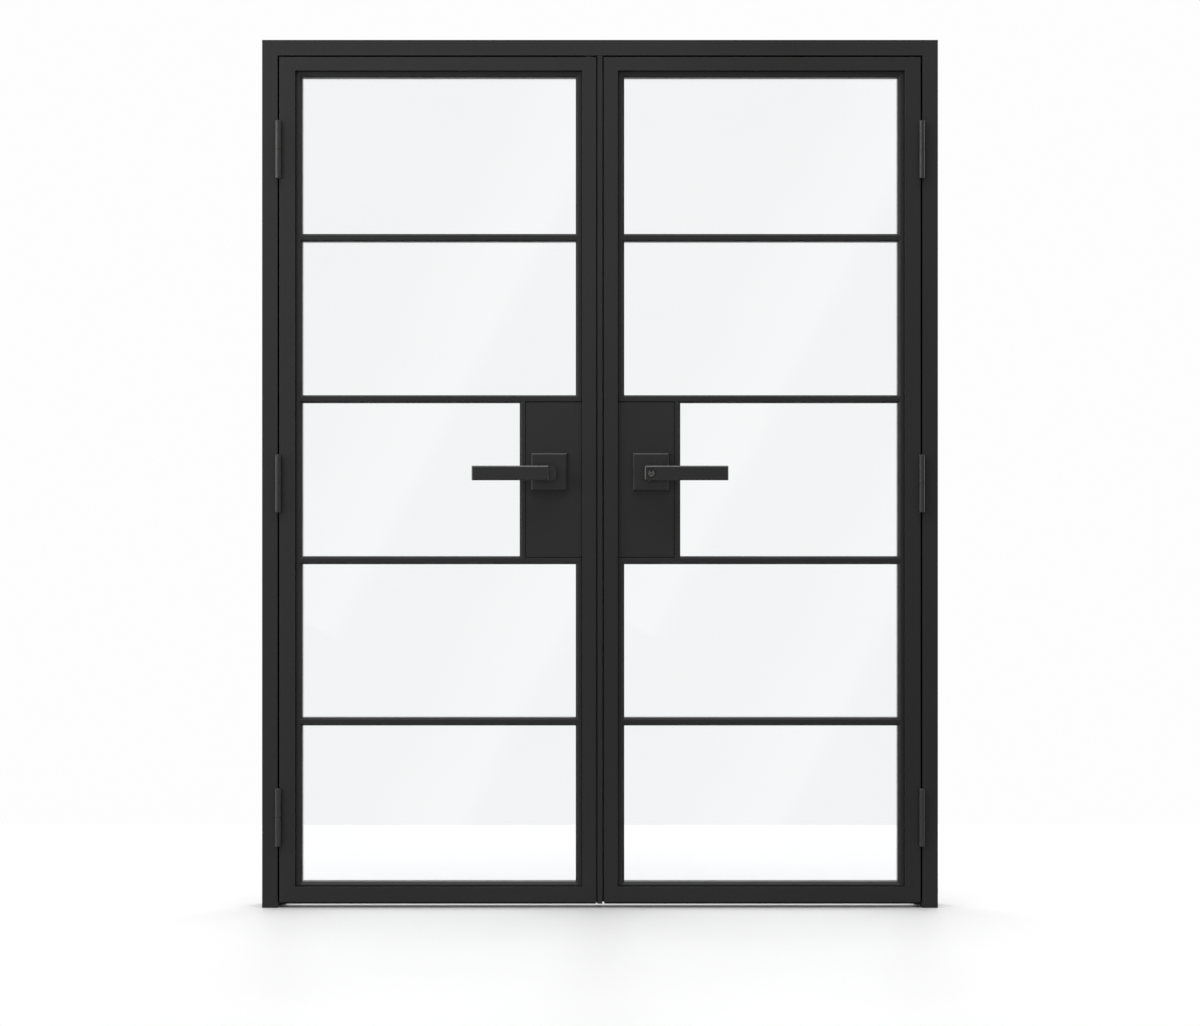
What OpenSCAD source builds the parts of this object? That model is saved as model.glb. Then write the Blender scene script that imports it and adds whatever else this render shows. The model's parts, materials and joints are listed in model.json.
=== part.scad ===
// Steel french doors: two glazed leaves hung in a welded steel frame, each with a lever lock.
// Millimetres, +Z up. The front faces -Y and the origin is on the floor below the middle of the
// doorway, halfway through the leaves. Leaf parts are drawn for the right-hand leaf, and the
// left-hand leaf mirrors them. The left-hand leaf also carries the meeting bar and the top bolt.

/* [Doorway] */
// Width over the frame
door_w = 1600; // [1300:10:2000]
// Height from the floor to the top of the frame
door_h = 2055; // [1700:5:2500]

/* [Frame] */
// Face width of the jambs
jamb_w = 36.5; // [30:0.5:60]
// Face width of the head
head_w = 36.5; // [30:0.5:60]
// Depth of the frame, front to back
frame_depth = 70; // [66:1:120]
// Wall of the frame tube
frame_wall = 2; // [1.5:0.5:3]
// How far the stop reaches in behind the leaves
stop_w = 14; // [12:1:25]
// Thickness of the plate that closes each jamb foot
foot_t = 4; // [2:1:10]
// Hole for a wall fixing
fixing_d = 8.5; // [6:0.5:10]
// Access hole for the fixing's head, closed by a plug
access_d = 14; // [12:0.5:16]
// Height of the lowest fixing, and distance of the highest from the top
fixing_end = 250; // [150:10:400]

/* [Leaves] */
// Thickness of a leaf
leaf_t = 50; // [44:1:60]
// Wall of the leaf tube
leaf_wall = 2; // [1.5:0.5:2.5]
// Gap between a leaf and the frame at the side and the top
edge_gap = 4; // [3.5:0.5:6]
// Gap between the back of a leaf and the stop
stop_gap = 3; // [2:0.5:4]
// Gap between the bottom sweep and the floor
floor_gap = 8; // [4:1:20]
// Height of the rubber sweep below the bottom rail
sweep_h = 5.5; // [4:0.5:12]
// Face width of the hinge stile
hinge_stile_w = 38; // [32:0.5:60]
// Face width of the meeting stile
meeting_stile_w = 33.5; // [30:0.5:60]
// Face width of the top rail
top_rail_w = 32; // [28:0.5:60]
// Face width of the bottom rail
bottom_rail_w = 36.5; // [28:0.5:200]

/* [Meeting edge] */
// Distance between the two meeting stiles
meeting_gap = 18; // [16:0.5:22]
// Width of the meeting bar's nose
nose_w = 11; // [8:0.5:12]
// Depth of the shadow groove beside the nose
nose_groove = 8; // [4:0.5:10]
// How far the nose stands in front of the leaves
nose_proud = 1.5; // [0:0.5:3]
// Height of the rubber seal across the gap, front to back
seal_depth = 6; // [4:0.5:8]

/* [Glazing] */
// Width of the glazing bead at the top and the sides
bead_w = 15; // [12:0.5:20]
// Width of the glazing bead at the bottom
bottom_bead_w = 10; // [9:0.5:20]
// How far the beads sit back from the leaf's face
bead_setback = 8; // [5:0.5:10]
// Bevel on the bead's glass side
bead_bevel = 5.5; // [3:0.5:6]
// Shadow groove between bead and stile
bead_groove = 1.5; // [0.5:0.25:2]
// Thickness of the glass
glass_t = 8; // [6:1:10]
// Room around the glass inside the stiles and rails
glass_clear = 3; // [2:0.5:4]
// Thickness of the rubber gaskets
gasket_t = 2; // [1:0.5:3]
// Thickness of the lip behind the glass
lip_t = 3; // [2:0.5:4]
// How much narrower the lip is than the bead in front of it
lip_step = 3; // [2:0.5:4]

/* [Glazing bars] */
// Width of a glazing bar
bar_w = 18.5; // [16:0.5:30]
// Width of the flat on a bar's front
bar_flat = 10; // [8:0.5:14]
// Width of a bar's flange behind the glass
bar_back_w = 16; // [14:0.5:26]
// Thickness of a bar's web between the panes
web_t = 5; // [4:0.5:6]
// Room between a web and the glass
web_clear = 2; // [1.5:0.25:2.5]
// How much taller the top and bottom lights are than the middle three
end_light_extra = 6.5; // [0:0.5:40]

/* [Lock boxes] */
// Distance from the doorway's middle to the lock box's glass side
lock_box_x = 175.5; // [165:0.5:240]
// Thickness of the lock box's sheet
plate_t = 2.5; // [2:0.5:3]
// How far the lock plates sit back from the beads' flats
plate_setback = 0.5; // [0:0.25:1]
// Shadow line between a lock plate and what is around it
plate_line = 1; // [0.5:0.25:2]
// Thickness of the lock cases
case_t = 18; // [16:1:20]
// Height of the lock cases
case_h = 150; // [120:1:180]
// Wall of the lock cases
case_wall = 1.5; // [1:0.25:2]
// Height and width of the latch faceplate
faceplate = [190, 22];

/* [Levers] */
// Distance from the doorway's middle to the lever's axis
lever_x = 120.5; // [110:0.5:130]
// Height of the lever's axis above the middle of the lock plate
lever_rise = 16; // [-20:1:40]
// Length of the lever bar outward from its axis
lever_reach = 181; // [120:1:200]
// How far the keyed lever's bar runs on past its axis
lever_tail = 15.5; // [12:0.5:20]
// Height of the lever bar
lever_h = 34.5; // [25:0.5:36]
// Thickness of the lever bar
lever_t = 12; // [10:0.5:16]
// Chamfer along the edges of the lever bar's face
lever_chamfer = 2.8; // [1:0.2:3.4]
// How far the lever's face stands from the lock plate
lever_stand = 65; // [55:1:75]
// Width of the plain lever's neck, and of the keyed lever's neck
neck_w = [35, 30];
// Rounding of the neck's corners
neck_r = 8; // [3:0.5:12]
// Width and height of a rosette
rosette = [86, 89];
// Thickness of a rosette
rosette_t = 10; // [8:0.5:14]
// Chamfer round a rosette's face
rosette_chamfer = 3.5; // [1:0.5:5]
// How far a rosette's middle sits above the lever's axis
rosette_rise = 3; // [0:0.5:5]
// Boss that turns in the rosette
boss_d = 24; // [20:0.5:28]
// Square of the spindle
spindle_w = 8; // [7:0.5:9]
// Diameter of the key cylinder
cylinder_d = 23; // [20:0.5:24]
// Diameter of the key plug
plug_d = 13; // [11:0.5:14]
// Diameter of the rod from the key plug to the turn button
tail_d = 3.6; // [3:0.2:4]

/* [Latch and bolt] */
// Throw of the latch
latch_throw = 12; // [8:1:12]
// Height and thickness of the latch
latch = [22, 12];
// Diameter of the top bolt
bolt_d = 12; // [8:0.5:14]
// Throw of the top bolt
bolt_throw = 15; // [12:0.5:18]
// How far the withdrawn top bolt stays below the leaf's top
bolt_rest = 1; // [0.5:0.5:3]

/* [Hinges] */
// Diameter of a hinge barrel
knuckle_d = 14; // [12:0.5:20]
// Length of one of a hinge's two knuckles
knuckle_h = 67.6; // [40:0.1:90]
// Diameter of the hinge pin
pin_d = 8; // [6:0.5:9]
// Thickness of the washer between the knuckles
washer_t = 1.4; // [1:0.1:3]
// Depth of the weld tongue along the leaf's edge
tongue_depth = 20; // [10:1:30]
// Height of the lowest hinge's middle
hinge_low = 215; // [150:1:300]
// Distance of the highest hinge's middle from the top of the frame
hinge_high = 260; // [150:1:300]

/* [Hidden] */
$fn = 64;
steel = [0.19, 0.19, 0.19];
rubber = [0.07, 0.07, 0.07];

// clearances
fit_running = 0.05;    // radial, between a shaft and its bearing
fit_fixed = 0.01;      // radial, between a pin and the knuckle that holds it
fit_loose = 0.3;       // round a sliding piece, and between soft and moving pieces
fit_slot = 0.2;        // round a plate let into a wall

// leaf edges, for the right-hand leaf
x_in = meeting_gap / 2;
x_out = door_w / 2 - jamb_w - edge_gap;
z_low = floor_gap + sweep_h;
z_top = door_h - head_w - edge_gap;
leaf_w = x_out - x_in;
leaf_h = z_top - z_low;

// the opening inside the stiles and rails
x_meet = x_in + meeting_stile_w;
x_hinge = x_out - hinge_stile_w;
z_sill = z_low + bottom_rail_w;
z_lintel = z_top - top_rail_w;

// places through the leaf, front to back
y_front = -leaf_t / 2;
y_back = leaf_t / 2;
y_bead = y_front + bead_setback;
y_lip = y_back - lip_t;
y_glass = y_lip - gasket_t - glass_t;
y_bead_back = y_glass - gasket_t;
y_web = y_bead + 9;
y_plate = y_bead + plate_setback;
y_stop = y_back + stop_gap;
y_frame = y_front + frame_depth;
lip_w = bead_w - lip_step;
bottom_lip_w = bottom_bead_w - lip_step;
groove_depth = 6;      // of the shadow groove beside a bead
bead_wall = 1.5;
mitre_joint = 0.1;     // each bead stops this short of its neighbour

// glazing bars, counted from the top
bars = 4;
light_h = (z_lintel - bead_w - z_sill - bottom_bead_w - bars * bar_w - 2 * end_light_extra) / (bars + 1);
function bar_z(i) = z_lintel - bead_w - light_h - end_light_extra - bar_w / 2 - i * (light_h + bar_w);
lock_light = 2;        // the light that the lock box takes part of
lock_bars = [lock_light - 1, lock_light];

// lock box
box_low = bar_z(lock_light) + bar_w / 2 + plate_line / 4;
box_high = bar_z(lock_light - 1) - bar_w / 2 - plate_line / 4;
bar_at_cover = bar_flat / 2 + (bar_w - bar_flat) / 2 * min(1, (plate_setback + plate_t) / bead_bevel);
cover_gap = 0.7;       // between a cover and the bars' bevels beside it
cover_low = bar_z(lock_light) + bar_at_cover + cover_gap;
cover_high = bar_z(lock_light - 1) - bar_at_cover - cover_gap;
lever_z = (box_low + box_high) / 2 + lever_rise;
case_x = lever_x + 40;

// levers, measured from their own lock plate outward
boss_in = 1;           // the boss starts this far in front of the plate
neck_gap = 0.5;        // between rosette and neck
neck_out = lever_stand - lever_t;
socket_depth = 30;
spindle_end = -y_plate + rosette_t + neck_gap + socket_depth - 2;

// hub inside each lock case
hub_d = 20;
collar_d = 16;
arm_w = 5;
latch_arm = 18;        // height of the arm that draws the latch
bolt_arm = 22;         // reach of the arm that draws the bolt
arm_play = 1;          // room between an arm and the lug that it moves
hub_clear = 1.5;       // between an arm's sweep and the latch tail above it

// top bolt
bolt_x = x_in + meeting_stile_w / 2;
bolt_top = z_top + bolt_throw - bolt_rest;
yoke = [0.5, 3.5];     // the yoke plate's two faces in Y
yoke_z = [-14, 32];    // its edges above and below the lever's axis

// hinges
x_axis = x_out + edge_gap / 2;
y_axis = y_front - knuckle_d / 2 - fit_loose;
hinge_z = [hinge_low, (hinge_low + door_h - hinge_high) / 2, door_h - hinge_high];
tongue_t = edge_gap - 1;
pin_low = 0.7 * knuckle_h;
pin_high = 0.75 * knuckle_h;

// wall fixings
fixing_z = [for (i = [0:3]) fixing_end + i * (door_h - 2 * fixing_end) / 3];
fixing_y = 8;
plug_head = [17, 1];

SIDES = ["left", "right"];
FRAME = ["frame_head", "frame_jamb_left", "frame_jamb_right", "frame_seals", "hinge_frame_knuckles",
    "hinge_pins", "hinge_washers", "head_keeper", "keeper_screws", "fixing_plugs"];
LEAF = ["hinge_stile", "meeting_stile", "top_rail", "bottom_rail", "glazing_bars", "bar_caps", "lock_box",
    "glass_panes", "lock_light_glass", "glazing_beads", "gaskets", "setting_blocks", "bottom_sweep",
    "hinge_leaf_knuckles", "rosettes", "lever_front", "lever_back", "spindle", "hub"];
LOCKS = ["meeting_bar", "strike_plate", "bolt_case", "top_bolt", "meeting_seal", "latch_faceplate",
    "latch_case", "latch_bolt", "key_cylinder", "key_plug", "tail_rod", "turn_button"];

// ---- helpers ----

// Its children on one side of the doorway, drawn for the right.
module on(side) {
    if (side == "left") mirror([1, 0, 0]) children();
    else children();
}

// Its children on both sides of the doorway.
module both() {
    for (side = SIDES) on(side) children();
}

// A block between two corners.
module block(low, high) {
    translate(low) cube(high - low);
}

// An outline in X and Z, carried along Y from one depth to another.
module slab(y0, y1) {
    translate([0, y1, 0]) rotate([90, 0, 0]) linear_extrude(y1 - y0) children();
}

// A round bar along Y.
module rod_y(x, y0, y1, z, d) {
    translate([x, y1, z]) rotate([90, 0, 0]) cylinder(h = y1 - y0, d = d);
}

// A rectangle with rounded corners, centred.
module rounded(w, h, r) {
    square([w - 2 * r, h], center = true);
    square([w, h - 2 * r], center = true);
    for (x = [-1, 1], y = [-1, 1]) translate([x * (w / 2 - r), y * (h / 2 - r)]) circle(r);
}

// A length of the section drawn as its child, standing on Z. Its ends are cut along the outline
// that the points give: each point is [distance in from the outer edge, cut back from the end].
module mitred(length, low, high) {
    intersection() {
        linear_extrude(length) children();
        slab(-300, 300) polygon(concat(low, [for (i = [len(high) - 1:-1:0]) [high[i][0], length - high[i][1]]]));
    }
}

// ---- frame ----

module frame_outline(w, wall) {
    polygon([[wall, y_front + wall], [w - wall, y_front + wall], [w - wall, y_stop + wall],
        [w + stop_w - wall, y_stop + wall], [w + stop_w - wall, y_frame - wall], [wall, y_frame - wall]]);
}

square_foot = [[0, 0], [jamb_w + stop_w, 0]];
jamb_mitre = [[0, 0], [jamb_w, head_w], [jamb_w + stop_w, head_w + stop_w]];
head_mitre = [[0, 0], [head_w, jamb_w], [head_w + stop_w, jamb_w + stop_w]];

module frame_jamb(side) {
    color(steel) on(side) difference() {
        translate([door_w / 2, 0, 0]) mirror([1, 0, 0]) difference() {
            mitred(door_h, square_foot, jamb_mitre) frame_outline(jamb_w, 0);
            translate([0, 0, foot_t]) mitred(door_h - foot_t, square_foot, jamb_mitre)
                frame_outline(jamb_w, frame_wall);
        }
        for (z = fixing_z) translate([door_w / 2, fixing_y, z]) rotate([0, -90, 0]) {
            translate([0, 0, -1]) cylinder(h = jamb_w + 2, d = fixing_d);
            translate([0, 0, jamb_w / 2]) cylinder(h = jamb_w, d = access_d);
        }
    }
}

module frame_head() {
    color(steel) difference() {
        translate([-door_w / 2, 0, door_h]) rotate([0, 90, 0]) difference() {
            mitred(door_w, head_mitre, head_mitre) frame_outline(head_w, 0);
            mitred(door_w, head_mitre, head_mitre) frame_outline(head_w, frame_wall);
        }
        translate([-bolt_x, 0, door_h - head_w - 1]) cylinder(h = frame_wall + 2, d = bolt_d + 4);
        at_keeper_screws() cylinder(h = 15, d = 4);
    }
}

module frame_seals() {
    color(rubber) {
        both() block([door_w / 2 - jamb_w - stop_w + 1, y_back + fit_loose, 2],
            [door_w / 2 - jamb_w - stop_w + 9, y_stop, door_h - head_w - stop_w + 0.5]);
        block([-door_w / 2 + jamb_w + stop_w, y_back + fit_loose, door_h - head_w - stop_w + 1],
            [door_w / 2 - jamb_w - stop_w, y_stop, door_h - head_w - stop_w + 9]);
    }
}

module fixing_plugs() {
    color(rubber) both() for (z = fixing_z) translate([door_w / 2 - jamb_w, fixing_y, z]) {
        rotate([0, -90, 0]) cylinder(h = plug_head[1], d = plug_head[0]);
        rotate([0, 90, 0]) cylinder(h = frame_wall + 2, d = access_d - 2 * fit_slot);
    }
}

// ---- head keeper for the top bolt ----

keeper = [bolt_d + 12, 46, 1.5];

// Its children at the keeper's two screws, on the keeper's lower face.
module at_keeper_screws() {
    for (y = [-1, 1]) translate([-bolt_x, y * (keeper[1] / 2 - 6.5), door_h - head_w - keeper[2]]) children();
}

module head_keeper() {
    color(steel) difference() {
        translate([-bolt_x - keeper[0] / 2, -keeper[1] / 2, door_h - head_w - keeper[2]]) cube(keeper);
        translate([-bolt_x, 0, door_h - head_w - keeper[2] - 1])
            cylinder(h = keeper[2] + 2, d = bolt_d + 4 * fit_loose);
        at_keeper_screws() countersunk(keeper[2] + 1, fit_fixed);
    }
}

// A countersunk screw, head down, with its head's face at the origin.
module countersunk(length, grow) {
    cylinder(h = 1.4, r1 = 3.6 + grow, r2 = 2.2 + grow);
    cylinder(h = length, r = 1.9 + grow);
}

module keeper_screws() {
    color(steel) at_keeper_screws() countersunk(12, 0);
}

// ---- hinges ----

// Its children at each hinge of the right-hand leaf, with the hinge's middle at the origin.
module at_hinges() {
    for (z = hinge_z) translate([x_axis, y_axis, z]) children();
}

// A barrel with softened ends, from the origin up.
module barrel(h) {
    rotate_extrude() polygon([[0, 0], [knuckle_d / 2 - 0.8, 0], [knuckle_d / 2, 0.8],
        [knuckle_d / 2, h - 0.8], [knuckle_d / 2 - 0.8, h], [0, h]]);
}

// The weld tongue that lies in the gap beside the leaf, against the face at the given X.
module tongue(x0, x1, z0) {
    block([x0, 0, z0 + 1], [x1, y_front - y_axis + tongue_depth, z0 + knuckle_h - 1]);
}

module hinge_frame_knuckles() {
    color(steel) both() at_hinges() difference() {
        union() {
            translate([0, 0, -washer_t / 2 - knuckle_h]) barrel(knuckle_h);
            tongue(edge_gap / 2 - tongue_t, edge_gap / 2, -washer_t / 2 - knuckle_h);
        }
        translate([0, 0, -washer_t / 2 - pin_low]) cylinder(h = pin_low + 1, d = pin_d + 2 * fit_fixed);
    }
}

module hinge_leaf_knuckles(side) {
    color(steel) on(side) at_hinges() difference() {
        union() {
            translate([0, 0, washer_t / 2]) barrel(knuckle_h);
            tongue(-edge_gap / 2, tongue_t - edge_gap / 2, washer_t / 2);
        }
        translate([0, 0, washer_t / 2 - 1]) cylinder(h = pin_high + 2, d = pin_d + 2 * fit_running);
    }
}

module hinge_pins() {
    color("silver") both() at_hinges() translate([0, 0, -washer_t / 2 - pin_low])
        cylinder(h = pin_low + washer_t + pin_high, d = pin_d);
}

module hinge_washers() {
    color("goldenrod") both() at_hinges() translate([0, 0, -washer_t / 2]) difference() {
        cylinder(h = washer_t, d = knuckle_d - 1);
        translate([0, 0, -1]) cylinder(h = washer_t + 2, d = pin_d + 2 * fit_running);
    }
}

// ---- leaf frame ----

// A leaf tube of the given face width, with the lip that backs the glass.
module leaf_section(w, lip) {
    difference() {
        polygon([[0, y_front], [w, y_front], [w, y_lip], [w + lip, y_lip], [w + lip, y_back], [0, y_back]]);
        translate([leaf_wall, y_front + leaf_wall]) square([w - 2 * leaf_wall, leaf_t - 2 * leaf_wall]);
    }
}

// The mitre between a tube of width w and its neighbour of width n, out to their lips.
function leaf_mitre(w, lip, n, n_lip) = [[0, 0], [w, n], [w + lip, n + n_lip]];

module hinge_stile(side) {
    color(steel) on(side) translate([x_out, 0, z_low]) mirror([1, 0, 0])
        mitred(leaf_h, leaf_mitre(hinge_stile_w, lip_w, bottom_rail_w, bottom_lip_w),
            leaf_mitre(hinge_stile_w, lip_w, top_rail_w, lip_w)) leaf_section(hinge_stile_w, lip_w);
}

module meeting_stile(side) {
    color(steel) on(side) difference() {
        translate([x_in, 0, z_low])
            mitred(leaf_h, leaf_mitre(meeting_stile_w, lip_w, bottom_rail_w, bottom_lip_w),
                leaf_mitre(meeting_stile_w, lip_w, top_rail_w, lip_w)) leaf_section(meeting_stile_w, lip_w);
        if (side == "left") {
            // slot for the bolt's yoke
            block([x_meet - leaf_wall - 1, yoke[0] - 0.5, lever_z + yoke_z[0] - bolt_throw - 2],
                [x_meet + 1, yoke[1] + 0.5, lever_z + yoke_z[1] + 2]);
        } else {
            // openings for the latch case and its faceplate
            block([x_meet - leaf_wall - 1, -case_t / 2 - fit_slot, lever_z - case_h / 2 - fit_slot],
                [x_meet + 1, case_t / 2 + fit_slot, lever_z + case_h / 2 + fit_slot]);
            block([x_in - 1, -faceplate[1] / 2 - fit_slot, lever_z - faceplate[0] / 2 - fit_slot],
                [x_in + leaf_wall + 1, faceplate[1] / 2 + fit_slot, lever_z + faceplate[0] / 2 + fit_slot]);
        }
    }
}

module top_rail(side) {
    color(steel) on(side) difference() {
        translate([x_in, 0, z_top]) rotate([0, 90, 0])
            mitred(leaf_w, leaf_mitre(top_rail_w, lip_w, meeting_stile_w, lip_w),
                leaf_mitre(top_rail_w, lip_w, hinge_stile_w, lip_w)) leaf_section(top_rail_w, lip_w);
        if (side == "left") translate([bolt_x, 0, z_top - leaf_wall - 1])
            cylinder(h = leaf_wall + 2, d = bolt_d + 2 * fit_loose);
    }
}

module bottom_rail(side) {
    color(steel) on(side) translate([x_out, 0, z_low]) rotate([0, -90, 0])
        mitred(leaf_w, leaf_mitre(bottom_rail_w, bottom_lip_w, hinge_stile_w, lip_w),
            leaf_mitre(bottom_rail_w, bottom_lip_w, meeting_stile_w, lip_w))
            leaf_section(bottom_rail_w, bottom_lip_w);
}

module bottom_sweep(side) {
    color(rubber) on(side) block([x_in + 1, -16, floor_gap], [x_out - 1, 16, z_low]);
}

// ---- glazing bars ----

// One bar's web, which can be grown for the slots that take it.
module web(i, grow) {
    block([x_meet, y_web - grow, bar_z(i) - web_t / 2 - grow], [x_hinge, y_lip, bar_z(i) + web_t / 2 + grow]);
}

module glazing_bars(side) {
    color(steel) on(side) for (i = [0:bars - 1]) {
        web(i, 0);
        block([x_meet + lip_w, y_lip, bar_z(i) - bar_back_w / 2],
            [x_hinge - lip_w, y_back, bar_z(i) + bar_back_w / 2]);
    }
}

// A cap's outside. It runs in to the beads' flats, and beside a lock box to the meeting stile.
module cap_body(i) {
    beside_lock = len(search(i, lock_bars)) > 0;
    x0 = x_meet + (beside_lock ? bead_groove : bead_w - bead_bevel);
    x1 = x_hinge - bead_w + bead_bevel;
    translate([x0, 0, bar_z(i)]) rotate([90, 0, 90]) linear_extrude(x1 - x0)
        polygon([[y_bead_back, -bar_w / 2], [y_bead + bead_bevel, -bar_w / 2], [y_bead, -bar_flat / 2],
            [y_bead, bar_flat / 2], [y_bead + bead_bevel, bar_w / 2], [y_bead_back, bar_w / 2]]);
}

module bar_caps(side) {
    color(steel) on(side) for (i = [0:bars - 1]) difference() {
        cap_body(i);
        web(i, fit_slot);
    }
}

// ---- glazing beads ----

module bead_section(w) {
    difference() {
        polygon([[0, y_bead + groove_depth], [bead_groove, y_bead + groove_depth], [bead_groove, y_bead],
            [w - bead_bevel, y_bead], [w, y_bead + bead_bevel], [w, y_bead_back], [0, y_bead_back]]);
        polygon([[bead_wall, y_bead + groove_depth + bead_wall],
            [w - bead_wall, y_bead + groove_depth + bead_wall],
            [w - bead_wall, y_bead_back - bead_wall], [bead_wall, y_bead_back - bead_wall]]);
    }
}

// A bead of width w that stands on Z from the origin, cut to meet neighbours of widths low and high.
// A neighbour of width 0 means a square end.
module bead(length, w, low, high) {
    translate([0, 0, mitre_joint])
        mitred(length - 2 * mitre_joint, [[0, 0], [w, low]], [[0, 0], [w, high]]) bead_section(w);
}

module glazing_beads(side) {
    over_lock = bar_z(lock_light - 1) + bar_flat / 2;
    under_lock = bar_z(lock_light) - bar_flat / 2;
    light_w = x_hinge - x_meet;
    color(steel) on(side) difference() {
        union() {
            translate([x_hinge, 0, z_sill]) mirror([1, 0, 0])
                bead(z_lintel - z_sill, bead_w, bottom_bead_w, bead_w);
            translate([x_meet, 0, over_lock]) bead(z_lintel - over_lock, bead_w, 0, bead_w);
            translate([x_meet, 0, z_sill]) bead(under_lock - z_sill, bead_w, bottom_bead_w, 0);
            translate([lock_box_x, 0, under_lock + bar_flat])
                bead(over_lock - under_lock - 2 * bar_flat, bead_w, 0, 0);
            translate([x_meet, 0, z_lintel]) rotate([0, 90, 0]) bead(light_w, bead_w, bead_w, bead_w);
            translate([x_hinge, 0, z_sill]) rotate([0, -90, 0]) bead(light_w, bottom_bead_w, bead_w, bead_w);
        }
        for (i = [0:bars - 1]) {
            cap_body(i);
            web(i, fit_slot);
        }
    }
}

// ---- glass, gaskets and setting blocks ----

// A light is the space between webs, rails and stiles, counted from the top.
function light_low(k) = k < bars ? bar_z(k) + web_t / 2 : z_sill;
function light_high(k) = k == 0 ? z_lintel : bar_z(k - 1) - web_t / 2;
function light_in(k) = k == lock_light ? lock_box_x : x_meet;

// A light drawn in by the given amounts: at the stiles, the top rail, the bottom rail and the webs.
function light_rect(k, stile, top, bottom, bar) = [
    [light_in(k) + stile, light_low(k) + (k < bars ? bar : bottom)],
    [x_hinge - stile, light_high(k) - (k == 0 ? top : bar)]];

function glass_rect(k, inset) = light_rect(k, glass_clear + inset, glass_clear + inset,
    glass_clear + inset, web_clear + inset);

module pane(k, inset, y0, y1) {
    r = glass_rect(k, inset);
    block([r[0][0], y0, r[0][1]], [r[1][0], y1, r[1][1]]);
}

module glass_panes(side) {
    color([0.85, 0.92, 0.93, 0.4]) on(side) for (k = [0:bars]) if (k != lock_light)
        pane(k, 0, y_glass, y_glass + glass_t);
}

module lock_light_glass(side) {
    color([0.85, 0.92, 0.93, 0.4]) on(side) pane(lock_light, 0, y_glass, y_glass + glass_t);
}

// A flat ring of rubber from just inside the glass's edge to just short of the sight line.
module gasket(k, y0, sight) {
    difference() {
        pane(k, 0.5, y0, y0 + gasket_t);
        block([sight[0][0], y0 - 1, sight[0][1]], [sight[1][0], y0 + gasket_t + 1, sight[1][1]]);
    }
}

module gaskets(side) {
    hide = 0.5;
    color(rubber) on(side) for (k = [0:bars]) {
        gasket(k, y_bead_back,
            light_rect(k, bead_w - hide, bead_w - hide, bottom_bead_w - hide, (bar_w - web_t) / 2 - hide));
        gasket(k, y_lip - gasket_t,
            light_rect(k, lip_w - hide, lip_w - hide, bottom_lip_w - hide, (bar_back_w - web_t) / 2 - hide));
    }
}

module setting_blocks(side) {
    block_w = 60;
    color(rubber) on(side) for (k = [0:bars], end = [0, 1]) {
        r = glass_rect(k, 0);
        x = end == 0 ? r[0][0] + 50 : r[1][0] - 50 - block_w;
        block([x, y_glass, light_low(k)], [x + block_w, y_glass + glass_t, r[0][1]]);
    }
}

// ---- lock boxes ----

module lock_box(side) {
    color(steel) on(side) difference() {
        union() {
            // the covers, front and back
            for (face = [0, 1]) mirror([0, face, 0])
                block([x_meet + plate_line, y_plate, face == 0 ? cover_low : box_low],
                    [lock_box_x, y_plate + plate_t, face == 0 ? cover_high : box_high]);
            // the top and bottom, which are welded to the stile
            for (z = [box_low, box_high - plate_t])
                block([x_meet, y_plate + 1, z], [lock_box_x, -y_plate - 1, z + plate_t]);
            // the glass side, with the lip that backs the glass
            block([lock_box_x - plate_t, y_plate, box_low], [lock_box_x, y_back, box_high]);
            block([lock_box_x - plate_t, y_lip, box_low + 1], [lock_box_x + lip_w, y_back, box_high - 1]);
        }
        rod_y(lever_x, y_plate - 1, -y_plate + 1, lever_z, boss_d - 2);
    }
}

module rosettes(side) {
    color(steel) on(side) for (face = [0, 1]) mirror([0, face, 0]) difference() {
        translate([lever_x, y_plate, lever_z + rosette_rise]) chamfered(rosette[0], rosette_t, rosette[1],
            rosette_chamfer);
        rod_y(lever_x, y_plate - rosette_t - 1, y_plate + 1, lever_z, boss_d + 2 * fit_running);
    }
}

// A block whose front edges are chamfered, with the middle of its back at the origin.
module chamfered(w, t, h, c) {
    intersection() {
        linear_extrude(h, center = true)
            polygon([[-w / 2, 0], [-w / 2, c - t], [c - w / 2, -t], [w / 2 - c, -t], [w / 2, c - t], [w / 2, 0]]);
        rotate([90, 0, 90]) linear_extrude(w, center = true)
            polygon([[0, -h / 2], [c - t, -h / 2], [-t, c - h / 2], [-t, h / 2 - c], [c - t, h / 2], [0, h / 2]]);
    }
}

// ---- levers ----

function keyed(side) = side == "right";
function neck(side) = neck_w[keyed(side) ? 1 : 0];

// A lever bar's outline, outward from its axis. A tail past the axis has rounder corners.
module bar_outline(tail) {
    corner = 2;
    tail_corner = 5;
    translate([lever_reach / 2, 0]) rounded(lever_reach, lever_h, corner);
    if (tail > 0) translate([(lever_reach / 2 - tail) / 2, 0])
        rounded(lever_reach / 2 + tail, lever_h, tail_corner);
}

// A lever bar from its face back to its neck, with the edges round its face chamfered.
module lever_bar(tail) {
    front = y_plate - lever_stand;
    back = y_plate - neck_out;
    intersection() {
        slab(front, back) bar_outline(tail);
        translate([-lever_reach, 0, 0]) rotate([90, 0, 90]) linear_extrude(3 * lever_reach)
            chamfered_strip(front, back, lever_h);
        translate([(lever_reach - tail) / 2, 0, -lever_h]) linear_extrude(2 * lever_h)
            rotate(-90) mirror([1, 0]) chamfered_strip(front, back, lever_reach + tail);
    }
}

// A strip from front to back and w across, with the two corners at its front cut off.
module chamfered_strip(front, back, w) {
    c = lever_chamfer;
    polygon([[back, -w / 2], [front + c, -w / 2], [front, c - w / 2], [front, w / 2 - c],
        [front + c, w / 2], [back, w / 2]]);
}

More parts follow.
